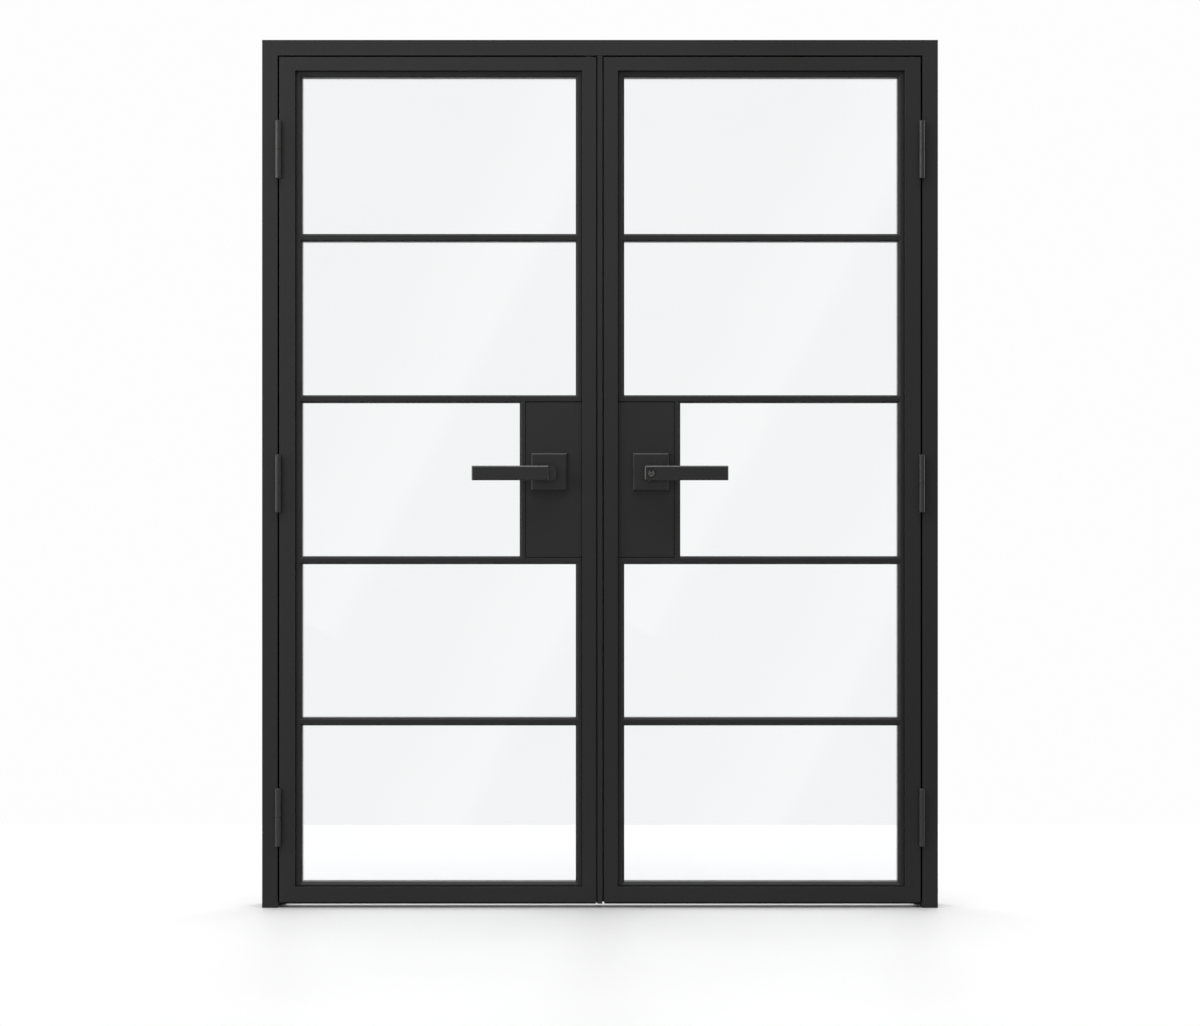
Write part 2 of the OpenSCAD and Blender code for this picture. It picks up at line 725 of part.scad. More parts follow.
// A lever with its axis on Y: boss, neck and bar, with a square socket for the spindle.
module lever(side) {
    tail = keyed(side) ? lever_tail : 0;
    difference() {
        union() {
            translate([lever_x, 0, lever_z]) {
                rod_y(0, y_plate - rosette_t - neck_gap, y_plate - boss_in, 0, boss_d);
                slab(y_plate - neck_out - 1, y_plate - rosette_t - neck_gap)
                    rounded(neck(side), neck(side), neck_r);
                lever_bar(tail);
            }
        }
        block([lever_x - spindle_w / 2 - fit_running, y_plate - rosette_t - neck_gap - socket_depth,
            lever_z - spindle_w / 2 - fit_running],
            [lever_x + spindle_w / 2 + fit_running, y_plate, lever_z + spindle_w / 2 + fit_running]);
        if (keyed(side)) children();
    }
}

cylinder_len = 22;
dish = [20, 3.5];      // the dish that the turn button sits in: width and depth
face_y = -y_plate + lever_stand;   // distance of a lever's face from the middle of the leaf

module lever_front(side) {
    color(steel) on(side) lever(side) {
        rod_y(lever_x, -face_y - 1, -face_y + cylinder_len, lever_z, cylinder_d + 2 * fit_running);
        rod_y(lever_x, -face_y, 0, lever_z, tail_d + 2 * fit_loose);
    }
}

module lever_back(side) {
    color(steel) on(side) mirror([0, 1, 0]) lever(side) {
        rod_y(lever_x, -face_y - 1, -face_y + dish[1], lever_z, dish[0]);
        rod_y(lever_x, -face_y, 0, lever_z, tail_d + 2 * fit_loose);
    }
}

module spindle(side) {
    color("silver") on(side) difference() {
        block([lever_x - spindle_w / 2, -spindle_end, lever_z - spindle_w / 2],
            [lever_x + spindle_w / 2, spindle_end, lever_z + spindle_w / 2]);
        if (keyed(side)) rod_y(lever_x, -spindle_end - 1, spindle_end + 1, lever_z, tail_d + 2 * fit_loose);
    }
}

// The follower in the lock case: upright arm for the latch, outward arm for the bolt.
module hub(side) {
    disc = keyed(side) ? [-5, 5] : [-5, yoke[0] - 0.5];
    color("silver") on(side) difference() {
        union() {
            rod_y(lever_x, disc[0], disc[1], lever_z, hub_d);
            rod_y(lever_x, -case_t / 2, case_t / 2, lever_z, collar_d);
            translate([lever_x, 0, lever_z]) if (keyed(side))
                block([-arm_w / 2, disc[0], 0], [arm_w / 2, disc[1], latch_arm]);
            else
                block([0, disc[0], -arm_w / 2], [bolt_arm, disc[1], arm_w / 2]);
        }
        block([lever_x - spindle_w / 2 - fit_running, -case_t, lever_z - spindle_w / 2 - fit_running],
            [lever_x + spindle_w / 2 + fit_running, case_t, lever_z + spindle_w / 2 + fit_running]);
    }
}

// ---- key cylinder and turn button ----

keyway = [2.4, 8];

module key_cylinder() {
    color("dimgray") difference() {
        rod_y(lever_x, -face_y, -face_y + cylinder_len, lever_z, cylinder_d);
        rod_y(lever_x, -face_y - 1, -face_y + cylinder_len - 3, lever_z, plug_d + 2 * fit_running);
        rod_y(lever_x, -face_y, 0, lever_z, tail_d + 2 * fit_loose);
    }
}

module key_plug() {
    color("gray") difference() {
        rod_y(lever_x, -face_y + 0.3, -face_y + cylinder_len - 3.5, lever_z, plug_d);
        block([lever_x - keyway[0] / 2, -face_y - 1, lever_z - keyway[1] / 2],
            [lever_x + keyway[0] / 2, -face_y + cylinder_len - 8, lever_z + keyway[1] / 2]);
    }
}

module tail_rod() {
    color("silver") rod_y(lever_x, -face_y + cylinder_len - 3.5, face_y - dish[1], lever_z, tail_d);
}

module turn_button() {
    color(steel) {
        rod_y(lever_x, face_y - dish[1], face_y - dish[1] + 1.5, lever_z, dish[0] - 2 * fit_loose);
        block([lever_x - 2, face_y - dish[1], lever_z - 8], [lever_x + 2, face_y, lever_z + 8]);
    }
}

// ---- latch, on the right-hand leaf ----

tail_low = latch_arm + hub_clear;
latch_lug = 4;

module latch_faceplate() {
    color(steel) difference() {
        block([x_in, -faceplate[1] / 2, lever_z - faceplate[0] / 2],
            [x_in + leaf_wall, faceplate[1] / 2, lever_z + faceplate[0] / 2]);
        latch_way(x_in - 1, x_in + leaf_wall + 1);
    }
}

// The opening that the latch slides through, between two X places.
module latch_way(x0, x1) {
    block([x0, -latch[1] / 2 - fit_loose, lever_z - latch[0] / 2 - fit_loose],
        [x1, latch[1] / 2 + fit_loose, lever_z + latch[0] / 2 + fit_loose]);
}

// A lock case between two X places: a closed shell with bearings for the hub.
module lock_case(x0, x1) {
    difference() {
        block([x0, -case_t / 2, lever_z - case_h / 2], [x1, case_t / 2, lever_z + case_h / 2]);
        block([x0 + case_wall, -case_t / 2 + case_wall, lever_z - case_h / 2 + case_wall],
            [x1 - case_wall, case_t / 2 - case_wall, lever_z + case_h / 2 - case_wall]);
        rod_y(lever_x, -case_t, case_t, lever_z, collar_d + 2 * fit_running);
        children();
    }
}

module latch_case() {
    color("silver") lock_case(x_in + leaf_wall, case_x) latch_way(0, x_in + leaf_wall + case_wall + 1);
}

// The latch: a head with a bevel on its closing side, and a tail whose lug the hub's arm pulls.
module latch_bolt() {
    tip = x_in - latch_throw;
    shank = x_in + 26;
    color("silver") translate([0, 0, lever_z]) {
        translate([0, 0, -latch[0] / 2]) linear_extrude(latch[0])
            polygon([[tip, -latch[1] / 2], [tip + 2, -latch[1] / 2], [shank, -latch[1] / 2],
                [shank, latch[1] / 2], [tip + latch_throw, latch[1] / 2], [tip, -latch[1] / 2 + 2]]);
        block([shank - 6, -3, 0], [shank, 3, tail_low + 6]);
        block([shank - 6, -3, tail_low], [lever_x + arm_w / 2 + arm_play + latch_lug, 3, tail_low + 6]);
        block([lever_x + arm_w / 2 + arm_play, -3, hub_d / 2 + fit_loose],
            [lever_x + arm_w / 2 + arm_play + latch_lug, 3, tail_low + 1]);
    }
}

// The seal that closes the gap beside the meeting bar, just behind the leaf's face.
module meeting_seal() {
    color(rubber) block([nose_w / 2 + fit_loose, -faceplate[1] / 2 - fit_loose - seal_depth, z_low],
        [x_in, -faceplate[1] / 2 - fit_loose, z_top]);
}

// ---- meeting bar and top bolt, on the left-hand leaf ----

strike = [90, 22];
bar_wall = 2;

module meeting_bar() {
    nose = [-nose_w / 2, nose_w / 2];
    low = floor_gap + 2;
    high = door_h - head_w - 1;
    color(steel) difference() {
        translate([0, 0, low]) linear_extrude(high - low) difference() {
            polygon([[-x_in, y_front + nose_groove], [nose[0], y_front + nose_groove],
                [nose[0], y_front - nose_proud], [nose[1], y_front - nose_proud], [nose[1], y_back],
                [-x_in, y_back]]);
            polygon([[-x_in + bar_wall, y_front + nose_groove + bar_wall],
                [nose[1] - bar_wall, y_front + nose_groove + bar_wall],
                [nose[1] - bar_wall, y_back - bar_wall], [-x_in + bar_wall, y_back - bar_wall]]);
        }
        block([nose_w / 2 - bar_wall - 1, -strike[1] / 2 - fit_slot, lever_z - strike[0] / 2 - fit_slot],
            [nose_w / 2 + 1, strike[1] / 2 + fit_slot, lever_z + strike[0] / 2 + fit_slot]);
    }
}

module strike_plate() {
    color(steel) difference() {
        block([nose_w / 2 - bar_wall, -strike[1] / 2, lever_z - strike[0] / 2],
            [nose_w / 2, strike[1] / 2, lever_z + strike[0] / 2]);
        block([0, -latch[1] / 2 - 1, lever_z - latch[0] / 2 - 1],
            [nose_w, latch[1] / 2 + 1, lever_z + latch[0] / 2 + 1]);
    }
}

module bolt_case() {
    color("silver") on("left") lock_case(x_meet, case_x)
        block([x_meet - 1, yoke[0] - 0.5, lever_z + yoke_z[0] - bolt_throw - 2],
            [x_meet + case_wall + 1, yoke[1] + 0.5, lever_z + yoke_z[1] + 2]);
}

// The top bolt: a rod up the meeting stile, drawn down by a yoke plate round the hub.
module top_bolt() {
    slot = collar_d / 2 + fit_loose;
    lug_top = -arm_w / 2 - arm_play;
    color("silver") on("left") {
        translate([bolt_x, 0, lever_z + yoke_z[0]]) {
            cylinder(h = bolt_top - lever_z - yoke_z[0] - 2, d = bolt_d);
            translate([0, 0, bolt_top - lever_z - yoke_z[0] - 2])
                cylinder(h = 2, r1 = bolt_d / 2, r2 = bolt_d / 2 - 2);
        }
        translate([0, 0, lever_z]) {
            difference() {
                block([bolt_x, yoke[0], yoke_z[0]], [lever_x + bolt_arm + 6, yoke[1], yoke_z[1]]);
                block([lever_x - slot, yoke[0] - 1, -slot], [lever_x + slot, yoke[1] + 1, slot + bolt_throw]);
            }
            block([lever_x + hub_d / 2 + 1.5, -5, lug_top - 6], [lever_x + bolt_arm + 2, yoke[1], lug_top]);
        }
    }
}

// ---- output ----

frame_head();
frame_seals();
hinge_frame_knuckles();
hinge_pins();
hinge_washers();
head_keeper();
keeper_screws();
fixing_plugs();
for (side = SIDES) {
    frame_jamb(side);
    hinge_stile(side);
    meeting_stile(side);
    top_rail(side);
    bottom_rail(side);
    glazing_bars(side);
    bar_caps(side);
    lock_box(side);
    glass_panes(side);
    lock_light_glass(side);
    glazing_beads(side);
    gaskets(side);
    setting_blocks(side);
    bottom_sweep(side);
    hinge_leaf_knuckles(side);
    rosettes(side);
    lever_front(side);
    lever_back(side);
    spindle(side);
    hub(side);
}
meeting_bar();
strike_plate();
bolt_case();
top_bolt();
meeting_seal();
latch_faceplate();
latch_case();
latch_bolt();
key_cylinder();
key_plug();
tail_rod();
turn_button();
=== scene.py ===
"""Steel french doors: finishes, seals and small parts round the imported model, with a plain studio.

Everything is in metres. The front faces -Y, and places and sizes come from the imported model's own boxes.
"""

import json
import logging
import math
from dataclasses import dataclass
from enum import Enum
from typing import Iterable, Sequence

import bmesh
import bpy
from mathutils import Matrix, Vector


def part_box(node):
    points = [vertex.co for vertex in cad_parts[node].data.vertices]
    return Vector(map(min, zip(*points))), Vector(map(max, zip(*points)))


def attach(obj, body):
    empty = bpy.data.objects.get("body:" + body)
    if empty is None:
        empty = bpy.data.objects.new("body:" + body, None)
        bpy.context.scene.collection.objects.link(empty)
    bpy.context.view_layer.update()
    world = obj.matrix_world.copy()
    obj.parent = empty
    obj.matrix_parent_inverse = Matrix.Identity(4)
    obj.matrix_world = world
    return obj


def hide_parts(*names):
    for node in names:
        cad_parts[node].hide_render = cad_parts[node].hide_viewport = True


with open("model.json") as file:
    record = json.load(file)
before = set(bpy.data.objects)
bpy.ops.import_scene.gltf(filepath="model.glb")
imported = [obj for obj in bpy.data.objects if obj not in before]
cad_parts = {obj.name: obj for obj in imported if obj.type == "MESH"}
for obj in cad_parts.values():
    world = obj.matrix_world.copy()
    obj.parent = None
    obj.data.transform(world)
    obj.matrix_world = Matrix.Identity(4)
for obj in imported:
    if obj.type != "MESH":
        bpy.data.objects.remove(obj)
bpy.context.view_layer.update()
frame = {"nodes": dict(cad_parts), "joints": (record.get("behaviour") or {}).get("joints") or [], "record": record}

log = logging.getLogger("french_doors")
MM = 0.001
NEAR = 1e-6  # corners of solids nearer than this are one corner
SAME = 1e-7  # points nearer than this were made twice
WHITE = (1.0, 1.0, 1.0, 1.0)
IOR = 1.5  # of coat, rubber and glass

Point = tuple[float, float]
Triple = tuple[float, float, float]
Ring = list[bmesh.types.BMVert]


class Side(Enum):
    """The two leaves, by their place seen from the front."""

    LEFT = -1
    RIGHT = 1

    @property
    def tag(self) -> str:
        """The ending of this side's node names."""
        return self.name.lower()


class Axis(Enum):
    """A direction of the row frame, by its place in a vector."""

    X = 0
    Y = 1
    Z = 2


# ---- node and shader helpers ----


class Nodes:
    """A node tree, and short ways to add to it."""

    def __init__(self, tree: bpy.types.NodeTree) -> None:
        """Takes over a tree as it is."""
        self.tree = tree

    def feed(self, target: bpy.types.NodeSocket, value: object) -> None:
        """Gives an input its value.

        Args:
            target: The input.
            value: A socket to link it to, or a plain value to set it to.
        """
        if isinstance(value, bpy.types.NodeSocket):
            self.tree.links.new(value, target)
        else:
            target.default_value = value

    def add(self, kind: str, **settings: object) -> bpy.types.Node:
        """Adds a node.

        Args:
            kind: Its type.
            **settings: Its options by their lower-case names, and a value or a socket for each input.
                An input's name starts with a capital and has underscores for spaces.

        Returns:
            The node.
        """
        node = self.tree.nodes.new(kind)
        for name, value in settings.items():
            if name[0].islower():
                setattr(node, name, value)
        for name, value in settings.items():
            if name[0].isupper():
                self.feed(node.inputs[name.replace("_", " ")], value)
        return node

    def combine(self, operation: str, first: object, second: object,
                kind: str = "ShaderNodeMath") -> bpy.types.NodeSocket:
        """Works out one number from two values.

        Args:
            operation: What is done with them.
            first: The first value or socket.
            second: The second one.
            kind: The type of node that does it.

        Returns:
            The socket with the result.
        """
        node = self.add(kind, operation=operation)
        self.feed(node.inputs[0], first)
        self.feed(node.inputs[1], second)
        return node.outputs["Value"]

    def ramp(self, value: bpy.types.NodeSocket, start: float, end: float, low: float = 0.0,
             high: float = 1.0, shape: str = "SMOOTHSTEP") -> bpy.types.NodeSocket:
        """Turns one range of a value into another.

        Args:
            value: The value.
            start: Where the range starts.
            end: Where it ends.
            low: What the start becomes.
            high: What the end becomes.
            shape: How it goes from one to the other.

        Returns:
            The socket with the new value.
        """
        node = self.add("ShaderNodeMapRange", interpolation_type=shape, Value=value,
                        From_Min=start, From_Max=end, To_Min=low, To_Max=high)
        return node.outputs["Result"]


class Shader(Nodes):
    """A material's node tree with a Principled shader."""

    DARKEST, LIGHTEST = 0.3, 0.7  # where a noise value counts as fully low and fully high

    def __init__(self, name: str) -> None:
        """Starts a material.

        Args:
            name: The material's name.
        """
        self.material = bpy.data.materials.new(name)
        self.material.use_nodes = True
        super().__init__(self.material.node_tree)
        self.tree.nodes.clear()
        self.surface = self.add("ShaderNodeBsdfPrincipled")
        self.add("ShaderNodeOutputMaterial", Surface=self.surface.outputs["BSDF"])

    def set(self, **values: object) -> None:
        """Sets sockets of the Principled shader.

        Args:
            **values: A value for each socket, named in lower case with underscores for spaces.
        """
        by_name = {socket.name.lower().replace(" ", "_"): socket for socket in self.surface.inputs}
        for name, value in values.items():
            by_name[name].default_value = value

    def noise(self, cell: float, detail: float = 2.0, stretch: Triple = (1, 1, 1),
              seed: float = 0.0) -> bpy.types.NodeSocket:
        """Adds a noise in object space.

        Args:
            cell: The size of one blotch, in metres.
            detail: How many finer layers it has.
            stretch: How much longer a blotch is along each axis.
            seed: The slice of four-dimensional noise that it takes.

        Returns:
            The socket with its value, from about 0.2 to 0.8.
        """
        place = self.add("ShaderNodeTexCoord").outputs["Object"]
        scaled = self.add("ShaderNodeMapping", Vector=place, Scale=[1 / s for s in stretch])
        texture = self.add("ShaderNodeTexNoise", noise_dimensions="4D", Vector=scaled.outputs["Vector"],
                           W=seed, Scale=1 / cell, Detail=detail)
        return texture.outputs["Fac"]

    def spread(self, value: bpy.types.NodeSocket, low: float, high: float) -> bpy.types.NodeSocket:
        """Turns a noise value into a range, in proportion."""
        return self.ramp(value, self.DARKEST, self.LIGHTEST, low, high, "LINEAR")

    def tint(self, value: bpy.types.NodeSocket, low: Triple, high: Triple) -> None:
        """Colours the surface between two colours.

        Args:
            value: Where between them, as a noise value.
            low: The colour where the noise is low.
            high: The colour where it is high.
        """
        mix = self.add("ShaderNodeMix", data_type="RGBA", Factor=self.spread(value, 0, 1),
                       A=(*low, 1), B=(*high, 1))
        self.feed(self.surface.inputs["Base Color"], mix.outputs["Result"])

    def rough(self, value: bpy.types.NodeSocket, low: float, high: float) -> None:
        """Roughens the surface unevenly.

        Args:
            value: A noise value.
            low: The roughness where the noise is low.
            high: The roughness where it is high.
        """
        self.feed(self.surface.inputs["Roughness"], self.spread(value, low, high))

    def bump(self, *layers: tuple[bpy.types.NodeSocket, float]) -> None:
        """Adds relief to the surface.

        Args:
            *layers: Pairs of a height value and the depth of its relief in metres.
        """
        below = self.surface.inputs["Normal"]
        for value, depth in reversed(layers):
            node = self.add("ShaderNodeBump", Distance=depth, Height=value)
            self.feed(below, node.outputs["Normal"])
            below = node.inputs["Normal"]


# ---- finishes ----


def grey(tone: float, warmth: float = 0.0) -> Triple:
    """A grey, warmer or cooler by a share of its tone."""
    return (tone * (1 + warmth), tone, tone * (1 - warmth))


class Finish:
    """How a surface looks."""

    def material(self, name: str) -> bpy.types.Material:
        """Makes the material.

        Args:
            name: The material slot that it is for.

        Returns:
            The material.
        """
        shader = Shader(name)
        self.paint(shader)
        return shader.material

    def paint(self, shader: Shader) -> None:
        """Gives a new shader its colour, gloss and relief."""
        raise NotImplementedError


@dataclass(frozen=True)
class PowderCoat(Finish):
    """A satin black coat on steel: faint clouds, a fine orange peel and an uneven gloss.

    Attributes:
        tone: Its reflectance.
        shades: The darkest and lightest clouds, as shares of the tone.
        cloud: The size of one cloud.
        roughness: Its middle roughness.
        uneven: How far its roughness strays from the middle.
        patch: The size of one patch of more or less gloss.
        peel: The width of one cell of the orange peel.
        wave: The width of the coat's shallow waves.
        relief: The depth of the orange peel. The waves are twice as deep.
        gloss: Its specular level.
        seed: Sets it apart from the other coats.
    """

    tone: float = 0.028
    shades: Point = (0.93, 1.08)
    cloud: float = 0.35
    roughness: float = 0.34
    uneven: float = 0.03
    patch: float = 0.05
    peel: float = 1.1 * MM
    wave: float = 18 * MM
    relief: float = 0.012 * MM
    gloss: float = 0.13
    seed: float = 0.0

    def paint(self, shader: Shader) -> None:
        """Adds clouds taller than they are wide, the uneven gloss, the peel and the waves."""
        shader.set(specular_ior_level=self.gloss, ior=IOR)
        dark, light = (self.tone * share for share in self.shades)
        clouds = shader.noise(self.cloud, 3, (1, 1, 2.5), self.seed)
        shader.tint(clouds, grey(dark, 0.01), grey(light, -0.005))
        patches = shader.noise(self.patch, 4, seed=self.seed + 1)
        shader.rough(patches, self.roughness - self.uneven, self.roughness + self.uneven)
        shader.bump((shader.noise(self.peel, 1, seed=self.seed + 2), self.relief),
                    (shader.noise(self.wave, 1, seed=self.seed + 3), self.relief * 2))


@dataclass(frozen=True)
class PlainSteel(Finish):
    """Bare steel drawn along one axis, with fine lines and a faint uneven sheen.

    Attributes:
        tone: Its reflectance.
        shades: The darkest and lightest stains, as shares of the tone.
        stain: The size of one stain.
        roughness: Its middle roughness.
        uneven: How far its roughness strays from the middle.
        line: The width of one line.
        stretch: How much longer a line is along each axis.
        relief: The depth of the lines.
        warmth: How much redder than blue it is, as a share.
    """

    tone: float = 0.55
    shades: Point = (0.88, 1.06)
    stain: float = 9 * MM
    roughness: float = 0.32
    uneven: float = 0.06
    line: float = 0.4 * MM
    stretch: Triple = (1, 30, 1)
    relief: float = 0.004 * MM
    warmth: float = 0.0

    def paint(self, shader: Shader) -> None:
        """Adds the stains and the drawn lines."""
        shader.set(metallic=1.0)
        dark, light = (self.tone * share for share in self.shades)
        shader.tint(shader.noise(self.stain, 3, seed=4), grey(dark, self.warmth), grey(light, self.warmth))
        lines = shader.noise(self.line, 2, self.stretch)
        shader.rough(lines, self.roughness - self.uneven, self.roughness + self.uneven)
        shader.bump((lines, self.relief))


@dataclass(frozen=True)
class Brass(Finish):
    """Washer brass, much darker than clean brass, and unevenly stained.

    Attributes:
        colour: Its colour where it is cleanest.
        stained: The colour of a stain, as a share of that.
        stain: The size of one stain.
        roughness: Its roughness in a stain and where it is clean.
    """

    colour: Triple = (0.08, 0.065, 0.04)
    stained: float = 0.7
    stain: float = 3 * MM
    roughness: Point = (0.52, 0.4)

    def paint(self, shader: Shader) -> None:
        """Adds the stains."""
        shader.set(metallic=1.0)
        stains = shader.noise(self.stain, 3)
        shader.tint(stains, tuple(self.stained * c for c in self.colour), self.colour)
        shader.rough(stains, *self.roughness)


@dataclass(frozen=True)
class Rubber(Finish):
    """Black seal rubber: matt, with a fine bloom and grain.

    Attributes:
        tone: Its reflectance where it is clean.
        bloom: How much lighter the bloom is, as a share of the tone.
        patch: The size of one patch of bloom.
        roughness: Its roughness where it is clean and in the bloom.
        gloss: Its specular level.
        grain: The size of one grain.
        relief: The depth of the grain.
    """

    tone: float = 0.012
    bloom: float = 1.5
    patch: float = 12 * MM
    roughness: Point = (0.62, 0.74)
    gloss: float = 0.3
    grain: float = 0.5 * MM
    relief: float = 0.02 * MM

    def paint(self, shader: Shader) -> None:
        """Adds the bloom and the grain."""
        shader.set(specular_ior_level=self.gloss, ior=IOR)
        patches = shader.noise(self.patch, 4)
        shader.tint(patches, grey(self.tone), grey(self.tone * self.bloom, -0.02))
        shader.rough(patches, *self.roughness)
        shader.bump((shader.noise(self.grain, 2, seed=6), self.relief))


@dataclass(frozen=True)
class ClearGlass(Finish):
    """Clear toughened glass, with a slight cool tint that varies a little over the sheet.

    Attributes:
        low: What it lets through where it is deepest.
        high: What it lets through where it is clearest.
        cloud: The size of one cloud of tint.
    """

    low: Triple = (0.925, 0.94, 0.946)
    high: Triple = (0.935, 0.95, 0.955)
    cloud: float = 0.25

    def paint(self, shader: Shader) -> None:
        """Lets light through, with the tint in clouds wider than they are tall."""
        shader.set(transmission_weight=1.0, roughness=0.0, ior=IOR)
        shader.tint(shader.noise(self.cloud, 2, (2, 1, 1)), self.low, self.high)


@dataclass(frozen=True)
class PaleFloor(Finish):
    """A pale studio floor with a soft sheen.

    Attributes:
        tone: Its reflectance.
        gloss: Its specular level.
        ior: Its index of refraction.
        roughness: Its middle roughness.
        uneven: How far its tone strays, as a share, and its roughness.
        cloud: The size of one cloud.
    """

    tone: float = 0.8
    gloss: float = 0.5
    ior: float = 1.45
    roughness: float = 0.5
    uneven: float = 0.01
    cloud: float = 0.6

    def paint(self, shader: Shader) -> None:
        """Adds the faint clouds."""
        shader.set(specular_ior_level=self.gloss, ior=self.ior)
        clouds = shader.noise(self.cloud, 2)
        shader.tint(clouds, grey(self.tone * (1 - self.uneven)), grey(self.tone * (1 + self.uneven)))
        shader.rough(clouds, self.roughness - self.uneven, self.roughness + self.uneven)


FINISHES: dict[str, Finish] = {
    "frame_coat": PowderCoat(),
    "leaf_coat": PowderCoat(seed=10),
    "bead_coat": PowderCoat(seed=20),
    "hardware_coat": PowderCoat(tone=0.0115, roughness=0.3, peel=0.7 * MM, relief=0.008 * MM, gloss=0.36,
                                seed=30),
    "hinge_coat": PowderCoat(roughness=0.3, gloss=0.34, seed=40),
    "clear_glass": ClearGlass(),
    "seal_rubber": Rubber(),
    "bright_steel": PlainSteel(),
    "washer_brass": Brass(),
    "cylinder_steel": PlainSteel(tone=0.1, roughness=0.38, stretch=(1, 1, 12), warmth=0.06),
}


class Palette:
    """The materials, one for each of the record's slots, made when first asked for."""

    def __init__(self) -> None:
        """Starts empty."""
        self._made: dict[str, bpy.types.Material] = {}

    def of(self, slot: str) -> bpy.types.Material:
        """The material of a slot.

        Args:
            slot: The slot's name in the record.

        Returns:
            Its material.
        """
        if slot not in self._made:
            self._made[slot] = FINISHES[slot].material(slot)
        return self._made[slot]


# ---- mesh helpers ----


def new_piece(name: str, mesh: bmesh.types.BMesh, body: str, slot: str, palette: Palette,
              sharp: float = 35.0) -> bpy.types.Object:
    """Makes an object of a finished mesh and seats it on a body.

    Args:
        name: The piece's name.
        mesh: Its mesh, in the row frame, which this frees.
        body: The body it rides on.
        slot: The record's slot that it takes its finish from.
        palette: The materials.
        sharp: The angle between two faces, in degrees, above which the edge stays sharp.

    Returns:
        The object.
    """
    bmesh.ops.recalc_face_normals(mesh, faces=mesh.faces)
    data = bpy.data.meshes.new(name)
    mesh.to_mesh(data)
    mesh.free()
    piece = bpy.data.objects.new(name, data)
    bpy.context.scene.collection.objects.link(piece)
    data.materials.append(palette.of(slot))
    data.shade_smooth()
    data.set_sharp_from_angle(angle=math.radians(sharp))
    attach(piece, body)
    return piece


def loft(mesh: bmesh.types.BMesh, rings: Sequence[Ring], closed: bool = False) -> None:
    """Skins a row of rings that have equally many points.

    Args:
        mesh: The mesh to add to.
        rings: The rings, in order.
        closed: True if the last ring joins the first. Otherwise both are capped.
    """
    for a, b in zip(rings, [*rings[1:], rings[0]] if closed else rings[1:]):
        for i in range(len(a)):
            j = (i + 1) % len(a)
            mesh.faces.new((a[i], a[j], b[j], b[i]))
    if not closed:
        mesh.faces.new(rings[0])
        mesh.faces.new(rings[-1])


def arc(centre: Point, radius: Point, start: float, end: float, steps: int) -> list[Point]:
    """Points along an arc of an ellipse.

    Args:
        centre: Its middle.
        radius: Its two radii.
        start: The first point's angle, in degrees.
        end: The last point's angle, in degrees.
        steps: How many stretches it has.

    Returns:
        The points, both ends included.
    """
    turns = [math.radians(start + (end - start) * i / steps) for i in range(steps + 1)]
    return [(centre[0] + radius[0] * math.cos(t), centre[1] + radius[1] * math.sin(t)) for t in turns]


def full_turn(count: int) -> list[float]:
    """The angles that part a full turn into equal stretches."""
    return [math.tau * k / count for k in range(count)]


def loose_boxes(node: str) -> list[tuple[Vector, Vector]]:
    """The box of each separate solid of a CAD node.

    Args:
        node: The node's name.

    Returns:
        Each solid's lowest and highest corners, in order of place.
    """
    mesh = bmesh.new()
    mesh.from_mesh(frame["nodes"][node].data)
    bmesh.ops.remove_doubles(mesh, verts=mesh.verts, dist=NEAR)
    left = set(mesh.verts)
    boxes = []
    while left:
        group, edge = set(), [left.pop()]
        while edge:
            vertex = edge.pop()
            group.add(vertex.co.copy().freeze())
            for link in vertex.link_edges:
                other = link.other_vert(vertex)
                if other in left:
                    left.discard(other)
                    edge.append(other)
        boxes.append(tuple(Vector(tuple(pick(c[i] for c in group) for i in range(3))) for pick in (min, max)))
    mesh.free()
    return sorted(boxes, key=lambda box: (*box[0], *box[1]))


# ---- CAD nodes: softened edges and finishes ----


@dataclass(frozen=True)
class Softening:
    """How a node's sharp edges are rounded off.

    Attributes:
        width: The width of the rounding.
        segments: The faces across it.
    """

    width: float
    segments: int = 2


